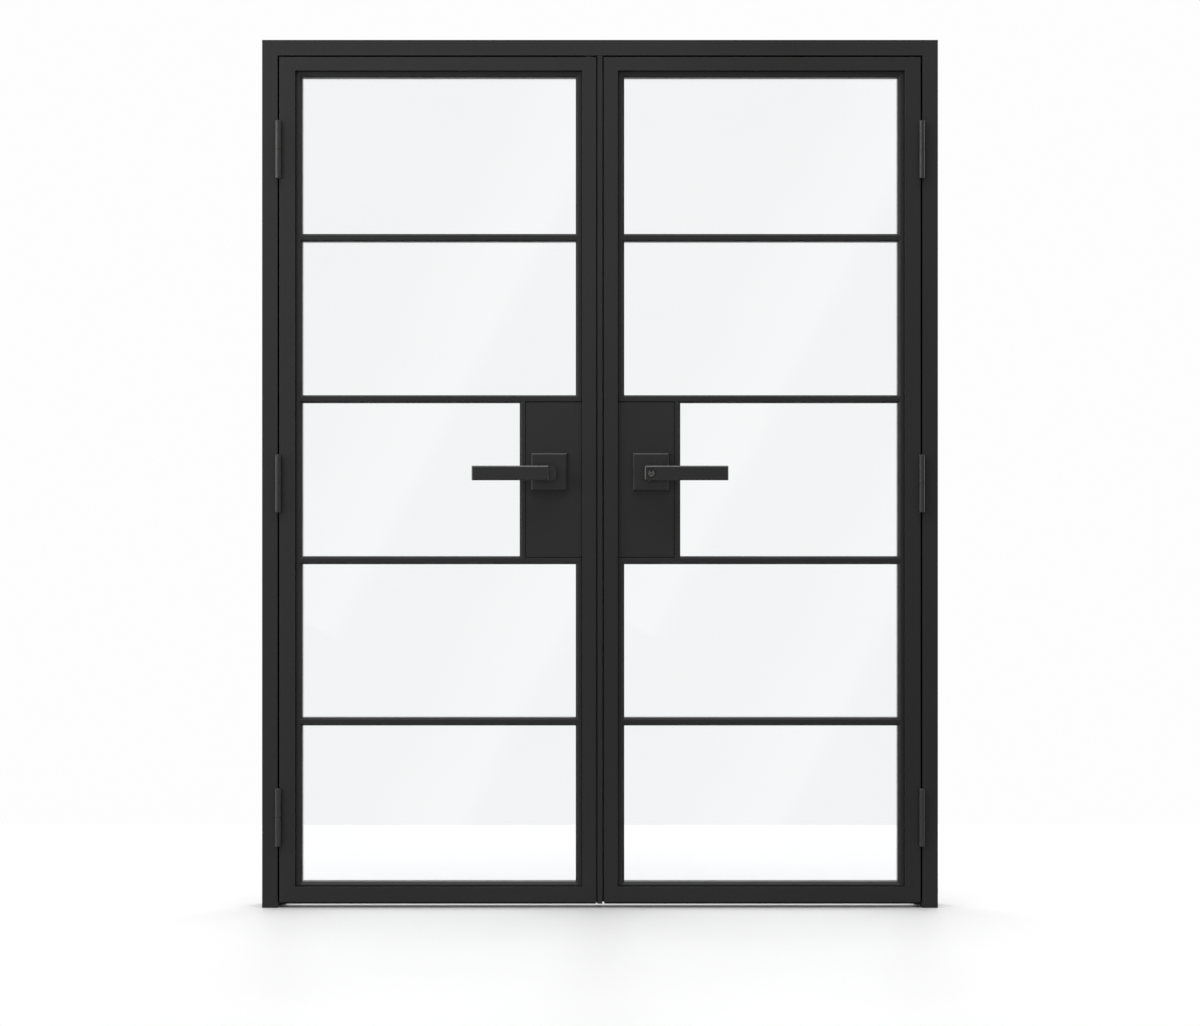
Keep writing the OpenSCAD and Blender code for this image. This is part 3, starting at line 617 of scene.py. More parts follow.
class CadNodes:
    """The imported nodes: each keeps its mesh, and gets its finish and softened edges by modifiers."""

    WELDED = ("frame_head", "frame_jamb_left", "frame_jamb_right")
    LEAF_WELDED = ("hinge_stile", "meeting_stile", "top_rail", "bottom_rail")
    SHARP = math.radians(28)
    FLAT = math.radians(0.5)
    GRID = 1e5  # steps to a metre

    def __init__(self, palette: Palette) -> None:
        """Notes the materials and the welded corners.

        Args:
            palette: The materials.
        """
        self.palette = palette
        groups = [self.WELDED] + [[f"{n}_{s.tag}" for n in self.LEAF_WELDED] for s in Side]
        self.welds: dict[str, set] = {}
        for group in groups:
            for name in group:
                others = [self._edges(frame["nodes"][n].data) for n in group if n != name]
                self.welds[name] = set().union(*others)

    def _key(self, a: Vector, b: Vector) -> tuple:
        """Names an edge by its two ends, to a hundredth of a millimetre."""
        return tuple(sorted(tuple(round(c * self.GRID) for c in p) for p in (a, b)))

    def _edges(self, mesh: bpy.types.Mesh) -> set:
        """The names of all a mesh's edges."""
        spots = [v.co for v in mesh.vertices]
        return {self._key(spots[e.vertices[0]], spots[e.vertices[1]]) for e in mesh.edges}

    def dress(self, plan: dict[str, Softening]) -> int:
        """Finishes every node.

        Args:
            plan: The softening of each node, by name or by name without its side.

        Returns:
            How many nodes were dressed.
        """
        for part in frame["record"]["subparts"]:
            name = part["node"]
            piece = frame["nodes"][name]
            for slot in piece.material_slots:
                slot.material = self.palette.of(part["material_slot"])
            softening = plan.get(name) or plan.get(name.rsplit("_", 1)[0])
            if softening:
                self._soften(piece, softening)
        return len(frame["record"]["subparts"])

    def _soften(self, piece: bpy.types.Object, how: Softening) -> None:
        """Rounds a node's sharp edges with modifiers, but not the edges that it shares at a welded corner.

        Args:
            piece: The node's object.
            how: The rounding.
        """
        mesh = piece.data
        spots = [v.co for v in mesh.vertices]
        normals: dict[tuple, list[Vector]] = {}
        for face in mesh.polygons:
            for a, b in face.edge_keys:
                normals.setdefault(self._key(spots[a], spots[b]), []).append(face.normal)
        welds = self.welds.get(piece.name, set())
        weights = mesh.attributes.new("bevel_weight_edge", "FLOAT", "EDGE")
        for edge in mesh.edges:
            key = self._key(*(spots[i] for i in edge.vertices))
            sides = normals[key]
            if key in welds or len(sides) < 2 or sides[0].angle(sides[1], 0) < self.SHARP:
                continue
            weights.data[edge.index].value = 1.0
        weld = piece.modifiers.new("join", "WELD")
        weld.merge_threshold = NEAR
        flat = piece.modifiers.new("flat", "DECIMATE")
        flat.decimate_type = "DISSOLVE"
        flat.angle_limit = self.FLAT
        bevel = piece.modifiers.new("soften", "BEVEL")
        bevel.limit_method = "WEIGHT"
        bevel.width = how.width
        bevel.segments = how.segments
        bevel.loop_slide = False
        bevel.use_clamp_overlap = True
        shading = piece.modifiers.new("shading", "WEIGHTED_NORMAL")
        shading.weight = 100
        mesh.shade_smooth()


# ---- seals ----


@dataclass(frozen=True)
class GlazingGaskets:
    """Rubber rings before and behind each sheet of glass, with a round lip at the sight line.

    Attributes:
        lip: How far the lip shows past the bead.
        hidden: How far short of the bead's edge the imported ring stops.
        clear: How far a corner of the ring's inner edge lies inside its outer one, at the least.
    """

    lip: float = 0.2 * MM
    hidden: float = 0.5 * MM
    clear: float = 0.01 * MM

    def build(self, side: Side, palette: Palette) -> bpy.types.Object:
        """Builds one leaf's rings as one piece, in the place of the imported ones.

        Args:
            side: The leaf.
            palette: The materials.

        Returns:
            The piece.
        """
        node = f"gaskets_{side.tag}"
        mesh = bmesh.new()
        spots = [v.co for v in frame["nodes"][node].data.vertices]
        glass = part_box(f"glass_panes_{side.tag}")
        for low, high in loose_boxes(node):
            inside = [p for p in spots if low.y - NEAR <= p.y <= high.y + NEAR
                      and all(low[i] + self.clear < p[i] < high[i] - self.clear for i in (0, 2))]
            xs, zs = sorted(p.x for p in inside), sorted(p.z for p in inside)
            front = low.y < glass[0].y
            self._ring(mesh, (low.x, low.z, high.x, high.z), (xs[0], zs[0], xs[-1], zs[-1]),
                       (high.y, low.y) if front else (low.y, high.y))
        piece = new_piece(f"glazing_gaskets_{side.tag}", mesh, f"leaf_{side.tag}", "seal_rubber", palette)
        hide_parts(node)
        return piece

    def _ring(self, mesh: bmesh.types.BMesh, outer: Sequence[float], inner: Sequence[float],
              depth: Point) -> None:
        """Adds one mitred ring.

        Args:
            mesh: The mesh to add to.
            outer: Its outer edge, as low X, low Z, high X and high Z.
            inner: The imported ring's inner edge, the same way.
            depth: The Y of the glass, and the Y of what holds the ring.
        """
        glass, back = depth
        away = 1 if back > glass else -1
        half = abs(back - glass) / 2
        nose = arc((self.hidden, glass + away * half), (self.lip, half), -90 * away, 90 * away, 6)
        corners = ((0, 1), (2, 1), (2, 3), (0, 3))
        rings = []
        for inward, y in ((None, glass), *nose, (None, back)):
            edges = outer if inward is None else [
                inner[0] + inward, inner[1] + inward, inner[2] - inward, inner[3] - inward]
            rings.append([mesh.verts.new((edges[i], y, edges[j])) for i, j in corners])
        loft(mesh, rings, closed=True)


class SealShape(Enum):
    """The sections of the strip seals, across their width and out from their base, both from 0 to 1."""

    BULB = "bulb"
    FINS = "fins"

    def outline(self) -> list[Point]:
        """The section's outline.

        Returns:
            Its points, in order.
        """
        if self is SealShape.BULB:
            foot, waist, half = 0.22, 0.3, 0.36
            return [(0, 0), (1, 0), (1, foot), (0.5 + half, waist),
                    *arc((0.5, 0.5), (half, 0.5), -18, 198, 14), (0.5 - half, waist), (0, foot)]
        base, root, root_half, tip, tip_half = 0.3, 0.38, 0.1, 0.94, 0.035
        points: list[Point] = [(1, 0), (1, base)]
        for middle in (0.88, 0.5, 0.12):
            points += [(middle + root_half, root), (middle + tip_half, tip),
                       *arc((middle, tip), (tip_half, 1 - tip), 0, 180, 4),
                       (middle - tip_half, tip), (middle - root_half, root)]
        return [*points, (0, base), (0, 0)]


@dataclass(frozen=True)
class StripSeal:
    """A rubber strip of one section, which fills a packed strip's box.

    Attributes:
        node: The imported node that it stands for.
        body: The body it rides on.
        shape: Its section.
        up: The direction along which it stands, from the box's higher face towards the lower one.
        reach: How far it stands up past its packed box, to touch what it seals against.
    """

    node: str
    body: str
    shape: SealShape
    up: Axis
    reach: float = 0.0

    def build(self, palette: Palette) -> bpy.types.Object:
        """Builds the strip, with one length for each packed one.

        Args:
            palette: The materials.

        Returns:
            The piece.
        """
        mesh = bmesh.new()
        up = self.up.value
        for low, high in loose_boxes(self.node):
            size = high - low
            run = max((i for i in range(3) if i != up), key=lambda i: size[i])
            across = 3 - up - run
            ends = []
            for along in (low[run], high[run]):
                ring = []
                for u, v in self.shape.outline():
                    spot = [0.0, 0.0, 0.0]
                    spot[run] = along
                    spot[across] = low[across] + size[across] * u
                    spot[up] = high[up] - (size[up] + self.reach) * v
                    ring.append(mesh.verts.new(spot))
                ends.append(ring)
            loft(mesh, ends)
        bmesh.ops.remove_doubles(mesh, verts=mesh.verts, dist=SAME)
        piece = new_piece(f"{self.node}_strip", mesh, self.body, "seal_rubber", palette)
        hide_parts(self.node)
        return piece


@dataclass(frozen=True)
class ShadowLineGaskets:
    """The thin rubber strips at the bottom of the shadow lines beside a lock box's covers: they seal the gaps, and
    their dark rubber also stands in for the shade in these lines, as painted shade.

    Attributes:
        recess: How far they lie back from the cover's face.
        depth: How deep they are.
        crown: How far their middle stands proud of their edges.
        play: The room left at each side.
    """

    recess: float = 1.1 * MM
    depth: float = 1.2 * MM
    crown: float = 0.2 * MM
    play: float = 0.01 * MM

    def build(self, side: Side, palette: Palette) -> bpy.types.Object:
        """Builds one side's strips as one piece.

        Args:
            side: The leaf.
            palette: The materials.

        Returns:
            The piece.
        """
        low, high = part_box(f"lock_box_{side.tag}")
        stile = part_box(f"meeting_stile_{side.tag}")
        if side is Side.LEFT:
            start, end = high.x + self.play, stile[0].x - self.play
        else:
            start, end = stile[1].x + self.play, low.x - self.play
        mesh = bmesh.new()
        # Each dark strip seals its gap and also stands in for the shade at the bottom of its shadow line: painted
        # shade.
        for face, inward in ((low.y, 1), (high.y, -1)):
            front = face + inward * self.recess
            back = front + inward * self.depth
            section = [(start, back), (start, front), ((start + end) / 2, front - inward * self.crown),
                       (end, front), (end, back)]
            loft(mesh, [[mesh.verts.new((x, y, z)) for x, y in section] for z in (low.z, high.z)])
        return new_piece(f"shadow_line_gaskets_{side.tag}", mesh, f"leaf_{side.tag}", "seal_rubber", palette)


# ---- hinges ----


@dataclass(frozen=True)
class HingeWelds:
    """The rippled weld that holds each hinge tongue to its frame or leaf, along the tongue's back edge.

    Attributes:
        radius: The weld's radius.
        ripple: The height of its ripples.
        pitch: The distance between ripples.
        steps: The stretches to one ripple.
        inset: How far it stays from the tongue's ends.
        tip: Its thickness at its ends, as a share.
        swell: How much thicker it gets with each stretch from there, as a share.
        sides: The faces round it.
    """

    radius: float = 0.95 * MM
    ripple: float = 0.12 * MM
    pitch: float = 2.2 * MM
    steps: int = 4
    inset: float = 4 * MM
    tip: float = 0.4
    swell: float = 0.3
    sides: int = 8

    def build(self, node: str, body: str, palette: Palette) -> bpy.types.Object:
        """Builds the welds of one node of knuckles.

        Args:
            node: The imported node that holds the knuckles.
            body: The body they ride on.
            palette: The materials.

        Returns:
            The piece.
        """
        mesh = bmesh.new()
        for low, high in loose_boxes(node):
            middle_x = (low.x + high.x) / 2
            start, end = low.z + self.inset, high.z - self.inset
            count = int((end - start) / self.pitch) * self.steps
            rings = []
            for i in range(count + 1):
                z = start + (end - start) * i / count
                thickness = min(1.0, self.tip + self.swell * min(i, count - i))
                r = (self.radius + self.ripple * abs(math.sin(math.pi * i / self.steps))) * thickness
                rings.append([mesh.verts.new((middle_x + r * math.cos(t), high.y + r * math.sin(t), z))
                              for t in full_turn(self.sides)])
            loft(mesh, rings)
        return new_piece(f"{node}_welds", mesh, body, "hinge_coat", palette, 60)


# ---- levers ----


@dataclass(frozen=True)
class GrubScrews:
    """The small socket screw under each lever's neck, which clamps it to the spindle.

    Attributes:
        radius: The screw's radius.
        chamfer: The chamfer round its foot.
        socket: The radius of its hexagonal socket, to the corners.
        draft: The socket's radius at its bottom, as a share of that.
        depth: The depth of the socket.
        length: How far it runs up into the neck.
        proud: How far it stands out of the neck.
        out: How far out from the rosette's face it sits.
        below: How far under the lever's axis the search for the neck's underside starts.
        sides: The faces round it.
    """

    radius: float = 2.5 * MM
    chamfer: float = 0.3 * MM
    socket: float = 1.45 * MM
    draft: float = 0.96
    depth: float = 1.4 * MM
    length: float = 3 * MM
    proud: float = 0.15 * MM
    out: float = 9 * MM
    below: float = 100 * MM
    sides: int = 24

    def build(self, side: Side, palette: Palette) -> bpy.types.Object:
        """Builds one side's two screws as one piece.

        Args:
            side: The leaf.
            palette: The materials.

        Returns:
            The piece.
        """
        mesh = bmesh.new()
        low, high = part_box(f"rosettes_{side.tag}")
        joint = next(j for j in frame["joints"] if j["name"] == f"lever_{side.tag}_turn")
        for face, y in (("front", low.y - self.out), ("back", high.y + self.out)):
            axis = Vector((joint["pos_m"][0], y, joint["pos_m"][2]))
            under = self._under(frame["nodes"][f"lever_{face}_{side.tag}"], axis)
            self._screw(mesh, Vector((axis.x, y, under - self.proud)))
        return new_piece(f"grub_screws_{side.tag}", mesh, f"lever_{side.tag}", "bright_steel", palette)

    def _under(self, lever: bpy.types.Object, axis: Vector) -> float:
        """The height of a neck's underside.

        Args:
            lever: The lever.
            axis: The point of its axis over the place where the height is wanted.

        Returns:
            The lowest Z of the lever there.
        """
        hit, spot, _, _ = lever.ray_cast(axis - Vector((0, 0, self.below)), Vector((0, 0, 1)))
        return spot.z if hit else axis.z

    def _screw(self, mesh: bmesh.types.BMesh, foot: Vector) -> None:
        """Adds one upright screw with a socket in its foot.

        Args:
            mesh: The mesh to add to.
            foot: The middle of its lower face.
        """
        sector = math.tau / 6
        rings = []
        for radius, z, hexagon in ((self.radius, self.length, False), (self.radius, self.chamfer, False),
                                   (self.radius - self.chamfer, 0.0, False), (self.socket, 0.0, True),
                                   (self.socket * self.draft, self.depth, True)):
            ring = []
            for turn in full_turn(self.sides):
                flat = math.cos(sector / 2) / math.cos(turn % sector - sector / 2) if hexagon else 1
                spot = Vector((radius * flat * math.cos(turn), radius * flat * math.sin(turn), z))
                ring.append(mesh.verts.new(foot + spot))
            rings.append(ring)
        loft(mesh, rings)


@dataclass(frozen=True)
class KeyCylinder:
    """The key cylinder in the keyed lever: a dished face, a horseshoe rim and a plug with its keyway.

    Attributes:
        groove: The width and depth of the groove between the face and the lever.
        ring: The width of the face's outer ring.
        slope: How much wider the ring is at its foot.
        dish: How far the face is sunk inside the ring.
        play: The room round the plug.
        rod: The radius of the hole for the tail rod.
        wall: The thickness of the wall behind the plug.
        sides: The faces round the cylinder.
        rim_out: The rim's outer half width and how far it reaches down.
        rim_low: How far the rim's face lies behind the ring's.
        rim_gap: Half the angle that the rim leaves open at the top, in degrees.
        rim_edge: The chamfer on the rim.
        rim_least: The rim's width at its narrowest.
        rim_tip: Its width at its two ends, as a share.
        rim_steps: The stretches along the rim, and those in which an end widens by a whole share.
        sink: How far the plug's face lies behind the ring's.
        plug_edge: The rounding of the plug's edges.
        key_top: The keyway's width at its mouth.
        key_width: The keyway's width at its foot.
        key_foot: How far the keyway reaches below the axis.
        ward: How far the ward stands into the keyway.
    """

    groove: Point = (1.3 * MM, 5.0 * MM)
    ring: float = 1.1 * MM
    slope: float = 0.3 * MM
    dish: float = 0.9 * MM
    play: float = 0.05 * MM
    rod: float = 2.1 * MM
    wall: float = 3 * MM
    sides: int = 64
    rim_out: Point = (8.0 * MM, 9.0 * MM)
    rim_low: float = 0.05 * MM
    rim_gap: float = 30.0
    rim_edge: float = 0.3 * MM
    rim_least: float = 1.0 * MM
    rim_tip: float = 0.35
    rim_steps: tuple[int, int] = (48, 9)
    sink: float = 0.45 * MM
    plug_edge: float = 0.2 * MM
    key_top: float = 4.2 * MM
    key_width: float = 2.3 * MM
    key_foot: float = 4.6 * MM
    ward: float = 0.8 * MM

    # The keyway's two sides, as shares of the ward's depth and millimetres above the axis.
    RIGHT_WARD = ((0, 1.2), (1, 0.6), (1, -0.9), (0, -1.5))
    LEFT_WARD = ((0, 0.4), (0.5, 1.0), (0, 1.8))

    def build(self, palette: Palette) -> list[bpy.types.Object]:
        """Builds the cylinder and the plug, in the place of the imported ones, and the rim.

        Args:
            palette: The materials.

        Returns:
            The three pieces.
        """
        low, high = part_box("key_cylinder")
        plug_low, plug_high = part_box("key_plug")
        axis = (low + high) / 2
        radius = (high.x - low.x) / 2
        plug_radius = (plug_high.x - plug_low.x) / 2
        bore = plug_radius + self.play
        floor = low.y + self.dish
        face, sunk = radius - self.groove[0], low.y + self.groove[1]
        wall = high.y - self.wall
        body = bmesh.new()
        self._turned(body, axis, [
            (face, low.y), (face, sunk), (radius, sunk), (radius, high.y), (self.rod, high.y),
            (self.rod, wall), (bore, wall), (bore, floor),
            (face - self.ring - self.slope, floor), (face - self.ring, low.y)])
        cylinder = new_piece("key_cylinder_body", body, "lever_right", "hardware_coat", palette, 30)
        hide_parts("key_cylinder")
        horseshoe = bmesh.new()
        self._rim(horseshoe, axis, bore, floor, low.y + self.rim_low)
        rim = new_piece("key_cylinder_rim", horseshoe, "lever_right", "cylinder_steel", palette, 30)
        core = bmesh.new()
        outline = self._plug_outline(plug_radius)
        loft(core, [[core.verts.new((axis.x + x, y, axis.z + z)) for x, z in outline]
                    for y in (low.y + self.sink, plug_high.y)])
        bmesh.ops.remove_doubles(core, verts=core.verts, dist=SAME)
        plug = new_piece("key_plug_body", core, "key_core", "cylinder_steel", palette, 30)
        edge = plug.modifiers.new("edge", "BEVEL")
        edge.width = self.plug_edge
        edge.segments = 2
        edge.angle_limit = math.radians(40)
        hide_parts("key_plug")
        return [cylinder, rim, plug]

    def _turned(self, mesh: bmesh.types.BMesh, axis: Vector, profile: Sequence[Point]) -> None:
        """Adds a closed profile turned about a line along Y.

        Args:
            mesh: The mesh to add to.
            axis: A point on the line.
            profile: The profile's corners, as radius and Y.
        """
        loft(mesh, [[mesh.verts.new((axis.x + r * math.cos(turn), y, axis.z + r * math.sin(turn)))
                     for r, y in profile] for turn in full_turn(self.sides)], closed=True)

    def _rim(self, mesh: bmesh.types.BMesh, axis: Vector, inner: float, back: float, front: float) -> None:
        """Adds the horseshoe rim.

        Args:
            mesh: The mesh to add to.
            axis: The cylinder's middle.
            inner: The rim's inner radius.
            back: The Y of the face that it stands on.
            front: The Y of its own face.
        """
        steps, widening = self.rim_steps
        start, end = 90 + self.rim_gap, 450 - self.rim_gap
        edge = self.rim_edge
        sections = []
        for k in range(steps + 1):
            turn = math.radians(start + (end - start) * k / steps)
            u, v = math.cos(turn), math.sin(turn)
            reach = 1 / math.hypot(u / self.rim_out[0], v / self.rim_out[1])
            share = min(1.0, self.rim_tip + min(k, steps - k) / widening)
            outer = inner + max(self.rim_least, (reach - inner) * share)
            spots = [(inner, back), (inner, front + edge), (inner + edge, front), (outer - edge, front),
                     (outer, front + edge), (outer, back)]
            sections.append([mesh.verts.new((axis.x + r * u, y, axis.z + r * v)) for r, y in spots])
        loft(mesh, sections)

    def _plug_outline(self, radius: float) -> list[Point]:
        """The plug's outline with its keyway cut in from the top.

        Args:
            radius: The plug's radius.

        Returns:
            Its points, as X and Z from the axis.
        """
        half_mouth = math.degrees(math.asin(self.key_top / 2 / radius))
        half = self.key_width / 2
        foot = -self.key_foot + half
        return [*arc((0, 0), (radius, radius), 90 + half_mouth, 450 - half_mouth, 56),
                *((half - share * self.ward, height * MM) for share, height in self.RIGHT_WARD),
                (half, foot), *arc((0, foot), (half, half), 0, -180, 8),
                *((share * self.ward - half, height * MM) for share, height in self.LEFT_WARD)]


# ---- studio ----


class Reach(Enum):
    """What a softbox lights."""

    DOORS = "doors"
    HANDLES = "handles"
    GLASS = "glass"
    FLOOR = "floor"


@dataclass(frozen=True)
class SoftLight:
    """A rectangular softbox that the camera doesn't see.

    Attributes:
        name: Its name.
        place: Where it hangs.
        size: Its width and height.
        radiance: How bright its face is.
        aim: The point that it faces.
        reach: What it lights.
        roll: How far it is turned about its own axis, in degrees.
        fade: True if its brightness rises slowly over its width and falls off fast at the far edge.
    """

    name: str
    place: Triple
    size: Point
    radiance: float
    aim: Triple = (0.0, 0.0, 1.0)
    reach: Reach = Reach.DOORS
    roll: float = 0.0
    fade: bool = False

    PEAK, FAR_EDGE = 0.88, 0.76  # where a fading light is fully risen, and where it starts to fall

    def hang(self, lit: bpy.types.Collection, shades: bpy.types.Collection) -> bpy.types.Object:
        """Hangs the light.

        Args:
            lit: The objects that it lights.
            shades: The objects that cast its shadows.

        Returns:
            The light's object.
        """
        light = bpy.data.lights.new(self.name, "AREA")
        light.shape = "RECTANGLE"
        light.size, light.size_y = self.size
        light.energy = self.radiance * math.pi * self.size[0] * self.size[1]
        box = bpy.data.objects.new(self.name, light)
        bpy.context.scene.collection.objects.link(box)
        box.location = self.place
        facing = Vector(self.aim) - Vector(self.place)
        box.rotation_euler = facing.to_track_quat("-Z", "Y").to_euler()
        box.rotation_euler.rotate_axis("Z", math.radians(self.roll))
        box.visible_camera = False
        box.visible_transmission = False
        box.light_linking.receiver_collection = lit
        box.light_linking.blocker_collection = shades
        if self.fade:
            self._fade(light)
        return box

    def _fade(self, light: bpy.types.Light) -> None:
        """Makes a light rise slowly over its width and fall off fast at the far edge."""
        light.use_nodes = True
        nodes = Nodes(light.node_tree)
        spot = nodes.add("ShaderNodeNewGeometry").outputs["Parametric"]
        across = nodes.add("ShaderNodeSeparateXYZ", Vector=spot).outputs["X"]
        rise, fall = nodes.ramp(across, 0.0, self.PEAK), nodes.ramp(across, 1.0, self.FAR_EDGE)
        emission = next(n for n in nodes.tree.nodes if n.type == "EMISSION")
        nodes.feed(emission.inputs["Strength"], nodes.combine("MULTIPLY", rise, fall))


@dataclass(frozen=True)
class Studio:
    """A white backdrop, a pale floor, softboxes and the camera.

    Attributes:
        white: The brightness of the white backdrop.
        sky: The direction that most of the soft light comes from.
        soft: The soft light's strength from below, and from there.
        behind: How much stronger it is from straight behind the doors.
        behind_edge: Where that part starts and where it is full, as the Y of a direction one unit long.
        floor_front: How far the floor runs in front of the doors.
        floor_back: How far it runs behind them.
        floor_side: How far it runs to each side.
        distance: How far the camera stands from the leaves' front.
        eye: The camera's height.
        view_width: The width of the view at the leaves' front.
        view_drop: How far the view's middle lies below the eye.
        sensor: The width of the camera's sensor, in millimetres.
        cards: How far in front of the doors the glare cards hang.
        card_size: The width and height of a card.
        card_radiance: How bright a card is.
        card_slant: How far a card leans to the right, in degrees.
    """

    white: float = 0.985
    sky: Triple = (-0.12, -0.1, 0.98)
    soft: Point = (0.3, 0.45)
    behind: float = 0.3
    behind_edge: Point = (0.75, 0.97)
    floor_front: float = 1.47
    floor_back: float = 1.5
    floor_side: float = 4.0
    distance: float = 6.4
    eye: float = 1.025
    view_width: float = 2.841
    view_drop: float = 0.09
    sensor: float = 36.0
    cards: float = 3.0
    card_size: Point = (0.5, 2.3)
    card_radiance: float = 0.8
    card_slant: float = 27.7

    HANDLES = ("lever_", "key_", "turn_button")
    CARD_HEIGHTS = {"upper": 1.39, "lower": 0.36}
    SOFTBOXES = (
        SoftLight("overhead_softbox", (-0.4, -0.8, 4.0), (4.5, 2.8), 3.35, (-0.4, -0.8, 0.0)),
        SoftLight("left_softbox", (-3.2, -0.5, 1.2), (1.6, 2.6), 3.0, (0.0, -0.5, 1.2)),
        SoftLight("right_softbox", (3.4, 0.5, 1.4), (1.6, 2.6), 3.0, (0.0, 0.2, 1.0)),
        SoftLight("key_softbox", (-2.8, -2.6, 2.3), (1.2, 1.6), 6.6),
        SoftLight("front_softbox", (-0.6, -6.3, 1.2), (4.0, 3.0), 0.58),
        SoftLight("back_softbox", (1.2, 6.3, 1.4), (4.0, 3.0), 0.8),
        SoftLight("back_key_softbox", (1.6, 3.0, 3.8), (1.6, 1.6), 3.2),
        SoftLight("handle_top_softbox", (-0.3, 0.5, 3.2), (2.4, 2.4), 3.2, (0.0, -0.08, 1.03), Reach.HANDLES),
        SoftLight("handle_left_softbox", (-2.4, -0.3, 1.6), (1.2, 1.6), 2.6, (0.0, -0.08, 1.03),
                  Reach.HANDLES),
        SoftLight("floor_wash", (0.0, 1.0, 4.5), (8.0, 8.0), 2.25, (0.0, 1.0, 0.0), Reach.FLOOR),
    )

    def build(self, pieces: Sequence[bpy.types.Object]) -> None:
        """Makes the studio.

        Args:
            pieces: The visible pieces that aren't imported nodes.
        """
        bpy.context.scene.view_settings.view_transform = "Standard"
        self._world()
        floor = self._floor()
        self._camera()
        doors = [*frame["nodes"].values(), *pieces]
        glass = [piece for name, piece in frame["nodes"].items() if "glass" in name]
        members = {
            Reach.DOORS: [piece for piece in doors if piece not in glass],
            Reach.HANDLES: [piece for piece in doors if piece.name.startswith(self.HANDLES)],
            Reach.GLASS: glass,
            Reach.FLOOR: [floor],
        }
        lit = {reach: self._group(f"lit_{reach.value}", things) for reach, things in members.items()}
        for light in [*self.SOFTBOXES, *self._glare()]:
            light.hang(lit[light.reach], lit[Reach.DOORS])

    @staticmethod
    def _group(name: str, members: Iterable[bpy.types.Object]) -> bpy.types.Collection:
        """A collection of some objects."""
        group = bpy.data.collections.new(name)
        for member in members:
            group.objects.link(member)
        return group

    def _glare(self) -> Iterable[SoftLight]:
        """The slanting cards that each leaf's glass shows as two soft bands.

        Yields:
            Each card.
        """
        scale = (self.cards + self.distance) / self.distance
        for side in Side:
            low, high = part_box(f"glass_panes_{side.tag}")
            x = (low.x + high.x) / 2 * scale
            for level, height in self.CARD_HEIGHTS.items():
                z = self.eye + (height - self.eye) * scale
                yield SoftLight(f"glare_{level}_{side.tag}", (x, -self.cards, z), self.card_size,
                                self.card_radiance, (x, 0, z), Reach.GLASS, roll=-self.card_slant, fade=True)

    def _world(self) -> None:
        """A white backdrop, with the soft light round the doors coming mostly from above and behind."""
        world = bpy.data.worlds.new("studio")
        bpy.context.scene.world = world
        world.use_nodes = True
        nodes = Nodes(world.node_tree)
        nodes.tree.nodes.clear()
        way = nodes.add("ShaderNodeTexCoord").outputs["Generated"]
        up = nodes.combine("DOT_PRODUCT", way, Vector(self.sky).normalized(), "ShaderNodeVectorMath")
        back = nodes.add("ShaderNodeSeparateXYZ", Vector=way).outputs["Y"]
        strength = nodes.combine("ADD", nodes.ramp(up, 0.0, 1.0, *self.soft),
                                 nodes.ramp(back, *self.behind_edge, 0.0, self.behind))
        rays = nodes.add("ShaderNodeLightPath").outputs
        seen = nodes.combine("MAXIMUM", rays["Is Camera Ray"], rays["Is Transmission Ray"])
        mix = nodes.add("ShaderNodeMixShader", Fac=seen)
        for target, bright in ((mix.inputs[1], strength), (mix.inputs[2], self.white)):
            light = nodes.add("ShaderNodeBackground", Color=WHITE, Strength=bright)
            nodes.feed(target, light.outputs["Background"])
        nodes.add("ShaderNodeOutputWorld", Surface=mix.outputs["Shader"])

    def _floor(self) -> bpy.types.Object:
        """A pale floor with a soft sheen.

        Returns:
            The floor.
        """
        mesh = bmesh.new()
        corners = ((-self.floor_side, -self.floor_front), (self.floor_side, -self.floor_front),
                   (self.floor_side, self.floor_back), (-self.floor_side, self.floor_back))
        mesh.faces.new([mesh.verts.new((x, y, 0)) for x, y in corners])
        data = bpy.data.meshes.new("floor")
        mesh.to_mesh(data)
        mesh.free()
        floor = bpy.data.objects.new("floor", data)
        bpy.context.scene.collection.objects.link(floor)
        data.materials.append(PaleFloor().material("pale_floor"))
        floor.visible_diffuse = False
        return floor

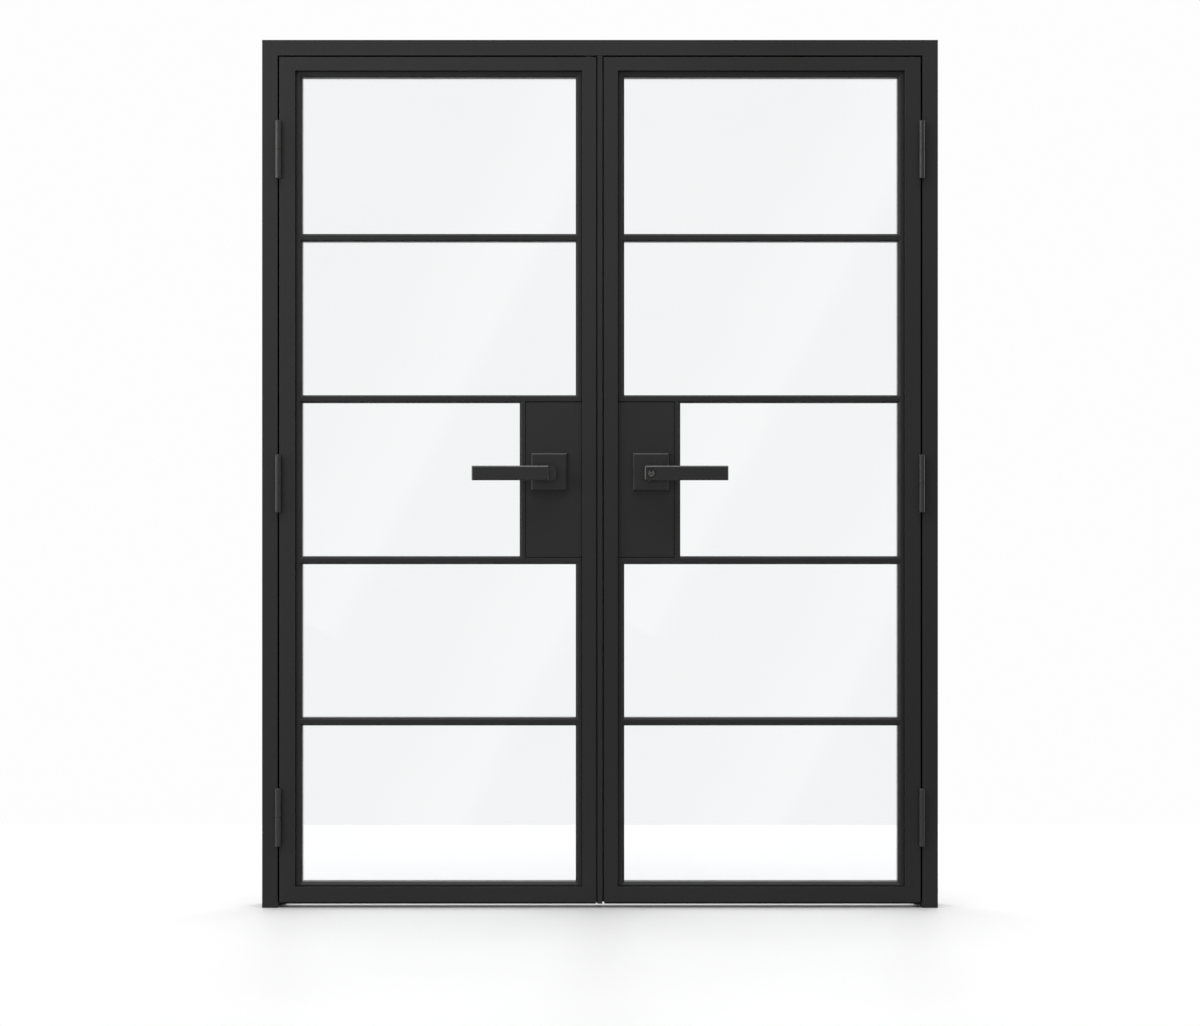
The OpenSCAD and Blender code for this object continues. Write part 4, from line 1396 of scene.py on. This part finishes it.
    def _camera(self) -> None:
        """A long lens, square to the doors, with its horizon kept above the middle by shift."""
        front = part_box("hinge_stile_left")[0].y
        data = bpy.data.cameras.new("camera")
        data.sensor_width = self.sensor
        data.lens = self.sensor * self.distance / self.view_width
        data.shift_y = -self.view_drop / self.view_width
        data.clip_end = 100
        camera = bpy.data.objects.new("camera", data)
        bpy.context.scene.collection.objects.link(camera)
        camera.location = (0, front - self.distance, self.eye)
        camera.rotation_euler = (math.pi / 2, 0, 0)
        bpy.context.scene.camera = camera


# ---- the doors ----

# The width, in millimetres, of the rounding of each node's sharp edges.
SOFTENED = {
    name: Softening(width * MM)
    for width, names in {
        1.0: ("frame_head", "frame_jamb_left", "frame_jamb_right", "hinge_stile", "meeting_stile", "top_rail",
              "bottom_rail"),
        0.7: ("lever_front", "lever_back"),
        0.5: ("glazing_bars", "bar_caps", "lock_box", "rosettes", "turn_button"),
        0.4: ("fixing_plugs",),
        0.35: ("glazing_beads",),
        0.3: ("latch_bolt",),
        0.25: ("head_keeper", "strike_plate", "latch_faceplate"),
    }.items()
    for name in names
}
SOFTENED["meeting_bar"] = Softening(1.5 * MM, 3)


def main() -> None:
    """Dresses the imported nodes, then adds the seals, the small parts and the studio."""
    logging.basicConfig(level=logging.INFO, format="%(name)s: %(message)s")
    palette = Palette()
    dressed = CadNodes(palette).dress(SOFTENED)
    log.info("dressed %d nodes", dressed)
    strips = [
        StripSeal("frame_seals", "frame", SealShape.BULB, Axis.Y),
        StripSeal("meeting_seal", "leaf_right", SealShape.FINS, Axis.X, reach=0.28 * MM),
        *(StripSeal(f"bottom_sweep_{side.tag}", f"leaf_{side.tag}", SealShape.FINS, Axis.Z) for side in Side),
    ]
    pieces = [strip.build(palette) for strip in strips]
    welds = HingeWelds()
    pieces.append(welds.build("hinge_frame_knuckles", "frame", palette))
    for side in Side:
        pieces.append(GlazingGaskets().build(side, palette))
        pieces.append(welds.build(f"hinge_leaf_knuckles_{side.tag}", f"leaf_{side.tag}", palette))
        pieces.append(GrubScrews().build(side, palette))
        pieces.append(ShadowLineGaskets().build(side, palette))
    pieces += KeyCylinder().build(palette)
    for piece in pieces:
        log.info("%s: %d faces", piece.name, len(piece.data.polygons))
    Studio().build(pieces)


if __name__ == "__main__":
    main()
